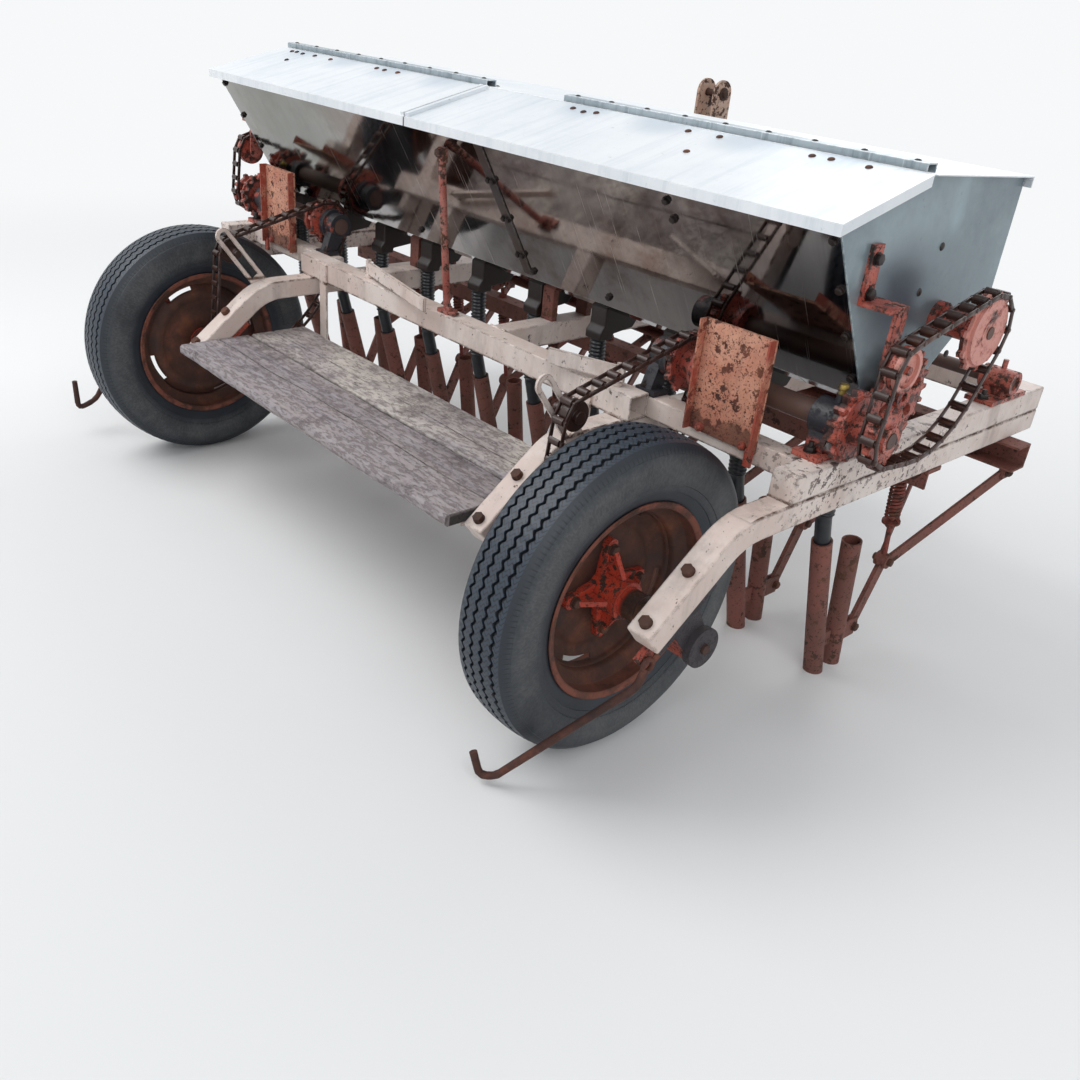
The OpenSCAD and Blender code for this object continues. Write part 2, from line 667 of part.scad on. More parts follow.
housing_d = shaft_d + 28;
module shaft_bearings() {
    color(orange) at() both() difference() {
        union() {
            bar_x(brg_x, brg_w, shaft_y, shaft_z, housing_d);
            box([brg_x - 4, shaft_y - 58, up_z], [brg_x + brg_w + 4, shaft_y + 58, up_z + 12]);
            along_x(brg_x + 5, brg_w - 10) polygon([[shaft_y - 34, up_z + 10], [shaft_y + 34, up_z + 10],
                [shaft_y + 24, shaft_z], [shaft_y - 24, shaft_z]]);
            translate([brg_x + brg_w - 12, shaft_y, shaft_z]) cylinder(d = 18, h = housing_d / 2 + 14);
        }
        bar_x(brg_x - 1, brg_w + 2, shaft_y, shaft_z, shaft_d + 2 * gap);
    }
}

// Rings of the clutch along the shaft: start, width, diameter
clutch_rings = [[shaft_in + 2, 34, shaft_d + 24], [shaft_in + 36, 20, shaft_d + 40],
    [shaft_in + 60, 10, shaft_d + 26], [chain_x + 7, 34, shaft_d + 18], [chain_x + 41, 16, shaft_d + 48]];
module clutch_units() {
    color(orange) at() both() difference() {
        union() {
            for (r = clutch_rings) bar_x(r[0], r[1], shaft_y, shaft_z, r[2]);
            sprocket(chain_x, clutch_teeth, wheel_loop, clutch_ring);
            box([shaft_in - 4, cross_y + 1, cross_z], [shaft_in + 50, cross_y + cross_t - 1, cross_z + 12]);
            along_x(shaft_in + 4, 30) polygon([[cross_y + 6, cross_z + 10], [cross_y + cross_t - 6, cross_z + 10],
                [shaft_y + 26, shaft_z], [shaft_y - 26, shaft_z]]);
        }
        bar_x(shaft_in - 1, 200, shaft_y, shaft_z, shaft_d + 2 * gap);
    }
}

// Flat levers on the rear beam: pivot x, length, angle
levers = [[600, 186, 198], [-350, 380, -12]];
lever_z = up_z + 10;
module clutch_levers() {
    color(cream) at() for (l = levers) {
        translate([l[0], beam_y + 26, 0]) {
            translate([0, 0, up_z]) cylinder(d = 22, h = 10);
            translate([0, 0, up_z + 5]) cylinder(d = 12, h = 45);
            rotate([0, 0, l[2]]) translate([-14, -4, lever_z]) cube([l[1], 8, 34]);
        }
    }
}

// The slotted lever that carries a wheel chain's idler, from its bolt on the arm up past the idler
lever_foot = [105, low_z + 18];
lever_w = 44;
module idler_levers() {
    v = unit(idler - lever_foot);
    len = norm(idler - lever_foot);
    color(cream) at() both() along_x(inner_out, 8) translate(lever_foot) rotate(atan2(v.y, v.x)) difference() {
        union() {
            translate([0, -lever_w / 2]) square([len + 66, lever_w]);
            translate([len + 66, 0]) circle(d = lever_w);
            circle(d = lever_w);
        }
        translate([46, -lever_w / 2 + 11]) square([len + 20, lever_w - 22]);
        translate([len + 66, 0]) circle(d = lever_w - 22);
    }
}

module chain_idlers() {
    color(dark) at() both() {
        bar_x(chain_x - link_in + gap, 2 * (link_in - gap), idler.x, idler.y, 2 * (idler_r - barrel / 2 - gap));
        bar_x(inner_out + 8, chain_x - inner_out + 12, idler.x, idler.y, 26);
        bar_x(inner_out, 9, idler.x, idler.y, 20);
    }
}

// Sprockets on sleeves round the axles, held by the inner bearings
sleeve_gap = 0.5;
module axle_sprockets() {
    color(dark) at() both() difference() {
        union() {
            sprocket(chain_x, axle_teeth, wheel_loop, axle_ring);
            bar_x(inner_out + gap, chain_x + 24 - inner_out, 0, axle_z, axle_d + 16);
        }
        bar_x(inner_out - 1, 120, 0, axle_z, axle_d + 2 * sleeve_gap);
    }
}

module wheel_chains() { color(rust) at() both() chain(chain_x, wheel_loop); }
module end_chains() { color(rust) at() both() chain(end_x, end_loop); }

gear_x = box_half + 18;
gear_w = 14;
module end_sprockets() {
    color(orange) at() both() {
        difference() {
            union() {
                along_x(gear_x - 3, gear_w + 10) translate([shaft_y, shaft_z])
                    gear(pinion_teeth, pinion_r, gear_dir);
                bar_x(gear_x + 20, 6, shaft_y, shaft_z, 2 * pinion_r - 4);
                bar_x(gear_x + 20, end_x - gear_x - 20, shaft_y, shaft_z, 62);
                sprocket(end_x, low_teeth, end_loop, low_ring);
                bar_x(end_x, 15, shaft_y, shaft_z, 52);
            }
            bar_x(gear_x - 10, 200, shaft_y, shaft_z, end_shaft_d + 2 * gap);
        }
        difference() {
            union() {
                along_x(gear_x, gear_w) translate([gear_y, gear_z]) difference() {
                    gear(gear_teeth, gear_r, gear_dir + 180 + 180 / gear_teeth);
                    for (k = [0:5]) rotate(60 * k + 20) {
                        translate([46, 0]) circle(d = 20);
                        translate([58, 0]) circle(d = 20);
                        translate([46, -10]) square([12, 20]);
                    }
                }
                bar_x(box_half + 1, gear_x + gear_w + 8 - box_half, gear_y, gear_z, 48);
            }
            bar_x(box_half - 5, 60, gear_y, gear_z, feed_d + 2 * gap);
        }
        difference() {
            union() {
                sprocket(end_x, top_teeth, end_loop, top_ring);
                bar_x(end_x, 14, top_y, top_z, 2 * (top_ring.z - 10));
                bar_x(box_half + 17, end_x - box_half - 2, top_y, top_z, 54);
            }
            bar_x(box_half + 10, 200, top_y, top_z, top_d + 2 * gap);
        }
        difference() {
            bar_x(end_x - link_in + gap, 2 * (link_in - gap), end_idler.x, end_idler.y,
                2 * (end_idler_r - barrel / 2 - gap));
            bar_x(end_x + 3, 12, end_idler.x, end_idler.y, 2 * (end_idler_r - 13));
            bar_x(end_x - 12, 40, end_idler.x, end_idler.y, idler_pin_d + 2 * gap);
        }
    }
}

// Stepped straps on the hopper's ends carry the end chains' idlers; bosses carry the top shaft
idler_pin_d = 16;
strap_x = box_half + 58;
strap_z = floor_z + 208;
module end_brackets() {
    color(orange) at() both() {
        box([box_half, 312, strap_z], [box_half + 8, 344, strap_z + 104]);
        box([box_half, 312, strap_z], [strap_x + 8, 372, strap_z + 9]);
        along_x(strap_x, 8) {
            polygon([[end_idler.x - 18, end_idler.y], [end_idler.x + 18, end_idler.y], [372, strap_z + 9],
                [338, strap_z + 9]]);
            translate(end_idler) circle(d = 36);
        }
        bar_x(strap_x, end_x + 12 - strap_x, end_idler.x, end_idler.y, idler_pin_d);
        difference() {
            bar_x(box_half, 16, top_y, top_z, 66);
            bar_x(box_half - 1, 20, top_y, top_z, top_d + 2 * gap);
        }
    }
}

// The openers' lift shaft runs across in two blocks on the side rails
lift_y = rail_front - 190;
lift_z = up_z + 41;
lift_d = 30;
module lift_shaft() { color(rust) at() bar_x(-rail_x, 2 * rail_x, lift_y, lift_z, lift_d); }
module pillow_blocks() {
    color(orange) at() both() difference() {
        union() {
            bar_x(rail_in - 14, tube + 20, lift_y, lift_z, lift_d + 24);
            box([rail_in - 8, lift_y - 80, up_z], [rail_x + 2, lift_y + 80, up_z + 10]);
            box([rail_in + 2, lift_y - 22, up_z + 8], [rail_x - 6, lift_y + 22, lift_z]);
            translate([rail_in + 26, lift_y, lift_z]) cylinder(d = 12, h = 46);
        }
        bar_x(rail_in - 20, tube + 40, lift_y, lift_z, lift_d + 2 * gap);
    }
}

// Axles and wheels

// The castings hang from the arms' sloping undersides; u runs up the slope and v away from the arm
function on_slope(u, v) = arm_foot + u * slope_dir + v * [slope_dir.y, -slope_dir.x];
housing_r = 36;
module axle_bearings() {
    at_u = (-arm_foot.x) * slope_dir.x + (axle_z - arm_foot.y) * slope_dir.y;
    color(dark) at() both() for (x = [rail_in, inner_x]) difference() {
        union() {
            along_x(x + 3, tube - 6) {
                polygon([on_slope(4, 0), on_slope(4, 12), on_slope(at_u - 30, 14), on_slope(at_u - 30, 70),
                    on_slope(at_u + 30, 70), on_slope(at_u + 40, 14), on_slope(166, 12), on_slope(166, 0)]);
                translate([0, axle_z]) circle(r = housing_r);
            }
            bar_x(x, tube, 0, axle_z, 2 * housing_r - 10);
            if (x == rail_in) bar_x(rail_x - 4, 16, 0, axle_z, 2 * housing_r + 8);
            if (x == rail_in) along_x(rail_x - 36, 16) polygon([on_slope(4, 0), on_slope(30, 10),
                on_slope(-6, 22), on_slope(-30, 14), on_slope(-30, 0)]);
        }
        bar_x(x - 10, x == inner_x ? tube + 20 : tube + 10 - gap, 0, axle_z, axle_d + 2 * gap);
    }
}

// A bent rod's corners, each with a round joint a little thicker than the rod
module bent_rod(points, d) {
    for (k = [0:len(points) - 2]) rod(points[k], points[k + 1], d);
    for (k = [1:len(points) - 2]) translate(points[k]) sphere(d = d + 1.5);
}
hook_d = 14;
eye = on_slope(-22, 10);
module hook_rods() {
    x = rail_x - 20 + gap;
    color(rust) at() {
        bar_x(x, 12, eye.x, eye.y, 34);
        bent_rod([[x + 7.5, eye.x - 6, eye.y - 4], [x + 9, eye.x - 22, eye.y - 36], [905, -282, 14],
            [880, -300, 12], [862, -304, 62]], hook_d);
        bar_x(-x - 12, 12, eye.x, eye.y, 34);
        bent_rod([[-x - 6, eye.x - 6, eye.y - 4], [-1118, -248, 100], [-1120, -310, 74], [-1120, -306, 170]],
            hook_d);
    }
}

// Half section of a tyre, as radius and offset
module tyre(side) {
    h = tyre_w / 2;
    color(rubber) at() on_side(side) translate([wheel_x, 0, axle_z]) rotate([0, 90, 0])
        rotate_extrude($fn = 36) polygon([
            [rim_r - 8, -rim_w / 2 + 6], [rim_r + 2, -rim_w / 2 + 5], [rim_r + 24, -h + 6], [rim_r + 62, -h], [tyre_r - 30, -h + 4],
            [tyre_r - 6, -h + 18], [tyre_r, -24], [tyre_r, 24], [tyre_r - 6, h - 18], [tyre_r - 30, h - 4],
            [rim_r + 62, h], [rim_r + 24, h - 6], [rim_r + 2, rim_w / 2 - 5], [rim_r - 8, rim_w / 2 - 6]]);
}

module wheel_rim(side) {
    w = rim_w / 2;
    color(rust) at() on_side(side) translate([wheel_x, 0, axle_z]) rotate([0, 90, 0])
        rotate_extrude($fn = 96) polygon([
            [rim_r, -w], [rim_r, -w + 4], [rim_r - 9, -w + 5], [rim_r - 9, -w + 30], [rim_r - 36, -w + 38],
            [rim_r - 36, w - 50], [rim_r - 9, w - 34], [rim_r - 9, w - 5], [rim_r, w - 4], [rim_r, w],
            [rim_r - 13, w], [rim_r - 13, w - 34], [rim_r - 40, w - 52], [rim_r - 44, -10],
            [130, -18], [60, -18], [60, -23], [130, -23], [rim_r - 48, -16],
            [rim_r - 40, -w + 36], [rim_r - 13, -w + 30], [rim_r - 13, -w]]);
}

// The spider carries the rim on pointed arms and turns with the axle
disc_face = -17.7;
module hub(side) {
    color(orange) at() on_side(side) {
        bar_x(inner_x + 6, rail_x - 4 - inner_x - 6, 0, axle_z, axle_d);
        bar_x(chain_x + 30, wheel_x - 30 - chain_x - 30, 0, axle_z, axle_d + 14);
        bar_x(wheel_x - 30, 84, 0, axle_z, 80);
        bar_x(wheel_x + 54, 40, 0, axle_z, 62);
        bar_x(wheel_x + 94, rail_in - 6 - wheel_x - 94, 0, axle_z, axle_d + 12);
        translate([wheel_x + disc_face, 0, axle_z]) for (k = [0:3]) rotate([90 * k, 0, 0]) {
            rotate([90, 0, 90]) linear_extrude(16)
                polygon([[-24, 30], [24, 30], [13, spider_r - 8], [0, spider_r], [-13, spider_r - 8]]);
            rotate([90, 0, 0]) translate([0, 0, -6]) linear_extrude(12)
                polygon([[10, 34], [60, 34], [30, spider_r - 30], [16, spider_r - 14], [10, spider_r - 14]]);
        }
    }
}

rear_beam();
side_rail(-1);  // side_rail_l
side_rail(1);  // side_rail_r
side_arm(-1);  // side_arm_l
side_arm(1);  // side_arm_r
inner_arm(-1);  // inner_arm_l
inner_arm(1);  // inner_arm_r
cross_members();
mid_rails();
front_beam();
toolbar();
pressure_bar();
hitch_tower();
lower_hitch();
hopper_rear_wall();
hopper_front_wall();
hopper_ends();
hopper_floor();
top_deck();
hinge_strips();
seam_strap();
hopper_legs();
stay_rod();
feed_cups();
feed_shaft();
top_shaft();
seed_tubes();
boots();
drag_bars();
press_springs();
shields();
foot_board();
board_hangers();
cross_shafts();
shaft_bearings();
clutch_units();
clutch_levers();
idler_levers();
chain_idlers();
axle_sprockets();
wheel_chains();
end_sprockets();
end_chains();
end_brackets();
lift_shaft();
pillow_blocks();
axle_bearings();
hook_rods();
lid(-1);  // lid_l
lid(1);  // lid_r
tyre(-1);  // tyre_l
tyre(1);  // tyre_r
wheel_rim(-1);  // wheel_rim_l
wheel_rim(1);  // wheel_rim_r
hub(-1);  // hub_l
hub(1);  // hub_r
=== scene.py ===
import json
import math
import bmesh
import bpy
from mathutils import Matrix, Vector, noise


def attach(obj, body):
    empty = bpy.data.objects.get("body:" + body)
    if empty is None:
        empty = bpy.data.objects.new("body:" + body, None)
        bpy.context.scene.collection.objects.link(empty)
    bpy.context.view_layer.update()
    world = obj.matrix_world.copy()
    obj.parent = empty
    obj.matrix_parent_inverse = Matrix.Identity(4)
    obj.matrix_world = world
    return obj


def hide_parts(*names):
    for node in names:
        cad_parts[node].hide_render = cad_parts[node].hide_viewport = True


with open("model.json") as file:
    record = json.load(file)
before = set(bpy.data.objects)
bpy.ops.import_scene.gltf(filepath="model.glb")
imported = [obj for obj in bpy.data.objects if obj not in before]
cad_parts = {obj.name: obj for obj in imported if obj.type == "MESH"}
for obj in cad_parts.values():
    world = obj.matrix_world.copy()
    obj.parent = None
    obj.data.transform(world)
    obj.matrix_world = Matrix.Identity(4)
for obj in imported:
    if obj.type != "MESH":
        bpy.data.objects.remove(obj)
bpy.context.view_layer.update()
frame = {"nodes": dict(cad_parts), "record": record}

# Stage: a pale studio floor under the parked machine, a white surround and plain soft lamps.
# The camera stands behind the machine's right wheel, at eye height, and looks down across it.
scene = bpy.context.scene
scene.view_settings.view_transform = "Standard"

EYE = Vector((2.006, -1.7715, 1.341))
TURN, DOWN, ROLL = math.radians(46.5), math.radians(29.2), math.radians(5.31)
ahead = Vector((-math.sin(TURN) * math.cos(DOWN), math.cos(TURN) * math.cos(DOWN), -math.sin(DOWN)))
level = Vector((math.cos(TURN), math.sin(TURN), 0))
upright = level.cross(ahead)
across = math.cos(ROLL) * level + math.sin(ROLL) * upright
above = math.cos(ROLL) * upright - math.sin(ROLL) * level
lens = bpy.data.cameras.new("camera")
lens.sensor_width, lens.lens = 36, 36 * 1023.1 / 1080
lens.shift_x, lens.shift_y = 0.0158, 0.0178
camera = bpy.data.objects.new("camera", lens)
camera.matrix_world = Matrix((across, above, -ahead)).transposed().to_4x4()
camera.location = EYE
scene.collection.objects.link(camera)
scene.camera = camera


def shader(tree, kind, sockets=(), **settings):
    """A shader node with its settings, its sockets set to values or linked."""
    made = tree.nodes.new("ShaderNode" + kind)
    for name, value in settings.items():
        setattr(made, name, value)
    for name, value in dict(sockets).items():
        if isinstance(value, bpy.types.NodeSocket):
            tree.links.new(value, made.inputs[name])
        else:
            made.inputs[name].default_value = value
    return made


def math_of(tree, operation, *values):
    """The result of a Math node on one, two or three values or sockets."""
    return shader(tree, "Math", enumerate(values), operation=operation).outputs[0]


def times(tree, *values):
    """The product of two or more values or sockets."""
    product = values[0]
    for value in values[1:]:
        product = math_of(tree, "MULTIPLY", product, value)
    return product


def from_to(tree, value, start, end, smooth=False):
    """0 where a value is at start, 1 where it is at end, and in between along the way."""
    run = {"interpolation_type": "SMOOTHSTEP"} if smooth else {}
    return shader(tree, "MapRange", {"Value": value, "From Min": start, "From Max": end}, **run).outputs[0]


world = bpy.data.worlds.new("studio")
scene.world = world
world.use_nodes = True
sky = world.node_tree
sky.nodes.clear()
rays = shader(sky, "LightPath").outputs
seen = math_of(sky, "MAXIMUM", math_of(sky, "MAXIMUM", rays["Is Camera Ray"], rays["Is Glossy Ray"]),
               rays["Is Transmission Ray"])
plain = shader(sky, "Background", {"Color": (0.90, 0.94, 1, 1), "Strength": 0.55})
white = shader(sky, "Background", {"Color": (0.93, 0.94, 0.95, 1), "Strength": 1})
both = shader(sky, "MixShader", {0: seen, 1: plain.outputs[0], 2: white.outputs[0]})
shader(sky, "OutputWorld", {"Surface": both.outputs[0]})

LAMPS = (  # name, place, size, power
    ("key", (-2.4, -2.6, 4.6), 4.0, 178),
    ("fill", (4.2, -2.4, 3.2), 3.5, 66),
    ("back", (-0.5, 4.5, 3.8), 4.0, 104))
for name, stands_at, size, power in LAMPS:
    lamp = bpy.data.lights.new(name, "AREA")
    lamp.size, lamp.energy = size, power
    stand = bpy.data.objects.new(name, lamp)
    stand.location = stands_at
    stand.rotation_euler = (Vector((0, 0, 0.5)) - Vector(stands_at)).to_track_quat("-Z", "Y").to_euler()
    scene.collection.objects.link(stand)

floor_paint = bpy.data.materials.new("studio_floor")
floor_paint.use_nodes = True
ground = floor_paint.node_tree
near = ground.nodes["Principled BSDF"]
near.inputs["Base Color"].default_value = (0.80, 0.80, 0.79, 1)
near.inputs["Roughness"].default_value = 0.9
rays = shader(ground, "LightPath").outputs
far_off = shader(ground, "VectorMath", {0: shader(ground, "TexCoord").outputs["Object"]}, operation="LENGTH")
fade = from_to(ground, far_off.outputs["Value"], 1.9, 5.0, smooth=True)  # metres from the machine's middle
seen = math_of(ground, "MAXIMUM", rays["Is Camera Ray"], rays["Is Glossy Ray"])
white = shader(ground, "Emission", {"Color": (0.93, 0.94, 0.95, 1), "Strength": 1})
both = shader(ground, "MixShader", {0: times(ground, fade, seen), 1: near.outputs[0], 2: white.outputs[0]})
ground.links.new(both.outputs[0], ground.nodes["Material Output"].inputs["Surface"])
floor_mesh = bmesh.new()
bmesh.ops.create_grid(floor_mesh, x_segments=1, y_segments=1, size=60)
floor_data = bpy.data.meshes.new("floor")
floor_mesh.to_mesh(floor_data)
floor_mesh.free()
floor = bpy.data.objects.new("floor", floor_data)
floor.data.materials.append(floor_paint)
scene.collection.objects.link(floor)

# Frame: square tubes and flat-bent arms, arc welded and painted cream over black mill scale.
# The paint is sun-bleached, speckled where it chips to the scale, and rusty where the tubes were knocked.


def effect(name, inputs, outputs):
    """An empty node group with its sockets, and its input and output nodes."""
    tree = bpy.data.node_groups.new(name, "ShaderNodeTree")
    for label, kind, value in inputs:
        made = tree.interface.new_socket(label, in_out="INPUT", socket_type="NodeSocket" + kind)
        if value is not None:
            made.default_value = value
    for label, kind in outputs:
        tree.interface.new_socket(label, in_out="OUTPUT", socket_type="NodeSocket" + kind)
    return tree, tree.nodes.new("NodeGroupInput").outputs, tree.nodes.new("NodeGroupOutput").inputs


def place(tree, group, **sockets):
    """An effect placed in a material; returns its outputs."""
    made = tree.nodes.new("ShaderNodeGroup")
    made.node_tree = group
    for name, value in sockets.items():
        socket = made.inputs[name.replace("_", " ")]
        if isinstance(value, bpy.types.NodeSocket):
            tree.links.new(value, socket)
        else:
            socket.default_value = value
    return made.outputs


def blend(tree, share, a, b, kind="MIX"):
    """A colour between a and b."""
    made = shader(tree, "Mix", data_type="RGBA", blend_type=kind)
    for name, value in (("Factor_Float", share), ("A_Color", a), ("B_Color", b)):
        socket = next(s for s in made.inputs if s.identifier == name)
        if isinstance(value, bpy.types.NodeSocket):
            tree.links.new(value, socket)
        else:
            socket.default_value = value if name == "Factor_Float" else (*value, 1)
    return next(s for s in made.outputs if s.identifier == "Result_Color")


def apart(tree, vector):
    """A vector's X, Y and Z."""
    return shader(tree, "SeparateXYZ", {0: vector}).outputs


def vector_of(tree, operation, *values):
    """The result of a Vector Math node: a number from a length, distance or dot product, or else a vector."""
    result = "Value" if operation in ("LENGTH", "DISTANCE", "DOT_PRODUCT") else "Vector"
    return shader(tree, "VectorMath", enumerate(values), operation=operation).outputs[result]


# Patches of chipped paint, stains or flakes: level and softness of the cut through a noise.
patches, gi, go = effect("patches", (("Vector", "Vector", None), ("Scale", "Float", 8.0),
                                     ("Seed", "Float", 0.0), ("Level", "Float", 0.6),
                                     ("Softness", "Float", 0.03), ("Detail", "Float", 6.0)),
                         (("Mask", "Float"), ("Noise", "Float")))
cloud = shader(patches, "TexNoise", {"Vector": gi["Vector"], "W": gi["Seed"], "Scale": gi["Scale"],
                                     "Detail": gi["Detail"], "Roughness": 0.70},
               noise_dimensions="4D").outputs[0]
low = math_of(patches, "SUBTRACT", gi["Level"], gi["Softness"])
high = math_of(patches, "ADD", gi["Level"], gi["Softness"])
cut = shader(patches, "MapRange", {"Value": cloud, "From Min": low, "From Max": high},
             interpolation_type="SMOOTHSTEP")
patches.links.new(cut.outputs[0], go["Mask"])
patches.links.new(cloud, go["Noise"])

# Edges worn by hands, feet and weather: where a rounded normal leaves the true one, broken up by a noise.
worn_edges, gi, go = effect("worn_edges", (("Radius", "Float", 0.004), ("Scale", "Float", 40.0),
                                           ("Amount", "Float", 1.0)), (("Mask", "Float"),))
true = shader(worn_edges, "NewGeometry").outputs["True Normal"]
turned = shader(worn_edges, "Bevel", {"Radius": gi["Radius"]}, samples=2).outputs[0]
alike = vector_of(worn_edges, "DOT_PRODUCT", true, turned)
bare = times(worn_edges, math_of(worn_edges, "SUBTRACT", 1.0, alike), 9.0)
broken = shader(worn_edges, "TexNoise", {"Vector": shader(worn_edges, "TexCoord").outputs["Object"],
                                         "Scale": gi["Scale"], "Detail": 5.0}).outputs[0]
bare = times(worn_edges, bare, from_to(worn_edges, broken, 0.42, 0.62), gi["Amount"])
worn_edges.links.new(shader(worn_edges, "Clamp", {"Value": bare}).outputs[0], go["Mask"])

# Rust: dark scale, brown and orange bloom, with its own rough height.
rust_coat, gi, go = effect("rust_coat", (("Vector", "Vector", None), ("Scale", "Float", 14.0),
                                         ("Bright", "Float", 0.5)), (("Color", "Color"), ("Height", "Float")))
fine = shader(rust_coat, "TexNoise", {"Vector": gi["Vector"], "Scale": gi["Scale"], "Detail": 9.0,
                                      "Roughness": 0.7})
broad = shader(rust_coat, "TexNoise", {"Vector": gi["Vector"], "Scale": times(rust_coat, gi["Scale"], 0.22),
                                       "Detail": 4.0})
tone = math_of(rust_coat, "ADD", times(rust_coat, fine.outputs[0], 0.6),
               times(rust_coat, broad.outputs[0], 0.4))
ramp = shader(rust_coat, "ValToRGB", {"Fac": tone})
ramp.color_ramp.elements[0].position, ramp.color_ramp.elements[0].color = 0.36, (0.020, 0.011, 0.008, 1)
ramp.color_ramp.elements[1].position, ramp.color_ramp.elements[1].color = 0.66, (0.20, 0.080, 0.036, 1)
middle = ramp.color_ramp.elements.new(0.52)
middle.color = (0.075, 0.032, 0.020, 1)
dull = blend(rust_coat, gi["Bright"], (0.030, 0.019, 0.015), ramp.outputs[0])
rust_coat.links.new(dull, go["Color"])
rust_coat.links.new(tone, go["Height"])


def finish_of(name):
    """A new material's tree, its Principled shader and its Object coordinates."""
    made = bpy.data.materials.new(name)
    made.use_nodes = True
    tree = made.node_tree
    return made, tree, tree.nodes["Principled BSDF"], shader(tree, "TexCoord").outputs["Object"]


def surface(tree, principled, color, rough, height=None, depth=0.001, strength=0.5, metal=0.0):
    """Links a material's colour, roughness and bump."""
    tree.links.new(color, principled.inputs["Base Color"])
    if isinstance(rough, bpy.types.NodeSocket):
        tree.links.new(rough, principled.inputs["Roughness"])
    else:
        principled.inputs["Roughness"].default_value = rough
    if isinstance(metal, bpy.types.NodeSocket):
        tree.links.new(metal, principled.inputs["Metallic"])
    else:
        principled.inputs["Metallic"].default_value = metal
    if height is not None:
        bump = shader(tree, "Bump", {"Height": height, "Distance": depth, "Strength": strength})
        tree.links.new(bump.outputs[0], principled.inputs["Normal"])


def old_paint(tree, here, paint, faded, chips, spots, edges, scale=1.0, gloss=0.55, grease=0.0, bright=0.6):
    """Old brushed paint over iron: faded patches, chips and worn edges down to rust, dark grease.

    Returns colour, roughness and height.
    """
    rust = place(tree, rust_coat, Vector=here, Scale=22.0 * scale, Bright=bright)
    fade = place(tree, patches, Vector=here, Scale=5.0 * scale, Level=0.5, Softness=0.12, Seed=3.0)
    coat = blend(tree, fade["Mask"], paint, faded)
    drips = shader(tree, "Mapping", {"Vector": here, "Scale": (1, 1, 0.25)}).outputs[0]
    dirt = place(tree, patches, Vector=drips, Scale=9.0 * scale, Level=0.57, Softness=0.10, Seed=7.0)
    coat = blend(tree, times(tree, dirt["Mask"], 0.40), coat, tuple(0.35 * c for c in paint))
    chip = place(tree, patches, Vector=here, Scale=26.0 * scale, Level=chips, Softness=0.015, Seed=11.0)
    speck = place(tree, patches, Vector=here, Scale=105.0 * scale, Level=spots, Softness=0.02, Seed=2.0)
    edge = place(tree, worn_edges, Radius=0.005, Scale=45.0 * scale, Amount=edges)
    bare_iron = math_of(tree, "MAXIMUM", math_of(tree, "MAXIMUM", chip["Mask"], speck["Mask"]), edge["Mask"])
    colour = blend(tree, bare_iron, coat, rust["Color"])
    if grease:
        oil = place(tree, patches, Vector=here, Scale=34.0, Level=1 - grease, Softness=0.03, Seed=5.0)
        colour = blend(tree, times(tree, oil["Mask"], 0.85), colour, (0.022, 0.015, 0.013))
    rough = shader(tree, "MapRange", {"Value": bare_iron, "To Min": gloss, "To Max": 0.85}).outputs[0]
    lift = math_of(tree, "SUBTRACT", times(tree, rust["Height"], 0.35), times(tree, bare_iron, 0.5))
    return colour, rough, lift


def paint_over_rust(name, *looks, **more):
    """A material of old paint that is the same all over."""
    made, tree, principled, here = finish_of(name)
    surface(tree, principled, *old_paint(tree, here, *looks, **more), depth=0.0012, strength=0.6)
    return made


def near_value(tree, value, target, reach):
    """1 where a value is at its target, falling to 0 at reach from it."""
    off = math_of(tree, "ABSOLUTE", math_of(tree, "SUBTRACT", value, target))
    return from_to(tree, off, reach, 0.3 * reach)


# The cream of the frame: a rusty line where the upper tubes lie on the lower ones, splashes of mud, and dark
# grease thrown off the drive.
cream_paint, tree, principled, here = finish_of("cream_paint")
colour, rough, lift = old_paint(tree, here, (0.65, 0.525, 0.465), (0.76, 0.665, 0.610), chips=0.655,
                                spots=0.650, edges=0.9, grease=0.345)
height = apart(tree, here)["Z"]
crack = place(tree, patches, Vector=here, Scale=40.0, Level=0.48, Softness=0.10, Seed=21.0)
upward = math_of(tree, "ABSOLUTE", apart(tree, shader(tree, "NewGeometry").outputs["True Normal"])["Z"])
seam = times(tree, near_value(tree, height, 0.5582, 0.0062), crack["Mask"])
seam = times(tree, seam, math_of(tree, "LESS_THAN", upward, 0.97))
colour = blend(tree, seam, colour, (0.085, 0.042, 0.026))
splash = place(tree, patches, Vector=here, Scale=62.0, Level=0.615, Softness=0.02, Seed=23.0)
zone = place(tree, patches, Vector=here, Scale=4.0, Level=0.52, Softness=0.06, Seed=24.0)
folded = vector_of(tree, "ABSOLUTE", here)
from_drive = vector_of(tree, "DISTANCE", folded, (1.12, 0.11, 0.62))
thrown = from_to(tree, from_drive, 0.26, 0.08)
splash = times(tree, splash["Mask"], zone["Mask"], math_of(tree, "GREATER_THAN", height, 0.562))
colour = blend(tree, times(tree, splash, 0.8), colour, (0.10, 0.055, 0.040))
spatter = place(tree, patches, Vector=here, Scale=58.0, Level=0.560, Softness=0.014, Seed=25.0)
spatter = times(tree, spatter["Mask"], thrown, 0.9)
colour = blend(tree, spatter, colour, (0.050, 0.026, 0.019))
surface(tree, principled, colour, rough, lift, depth=0.0012, strength=0.6)

body_of = {n: b for b, names in frame["record"]["behaviour"]["bodies"].items() for n in names}


def dress(material, *names):
    """Gives carried-over CAD nodes a finish."""
    for name in names:
        data = frame["nodes"][name].data
        data.materials.clear()
        data.materials.append(material)


ORIGIN = 465.5  # the axle lies this far behind the model's middle, in the part source's millimetres


def spot(x, y, z):
    """A point of the part source, in millimetres from the axle's line, in the model's metres."""
    return Vector((x, y - ORIGIN, z)) / 1000


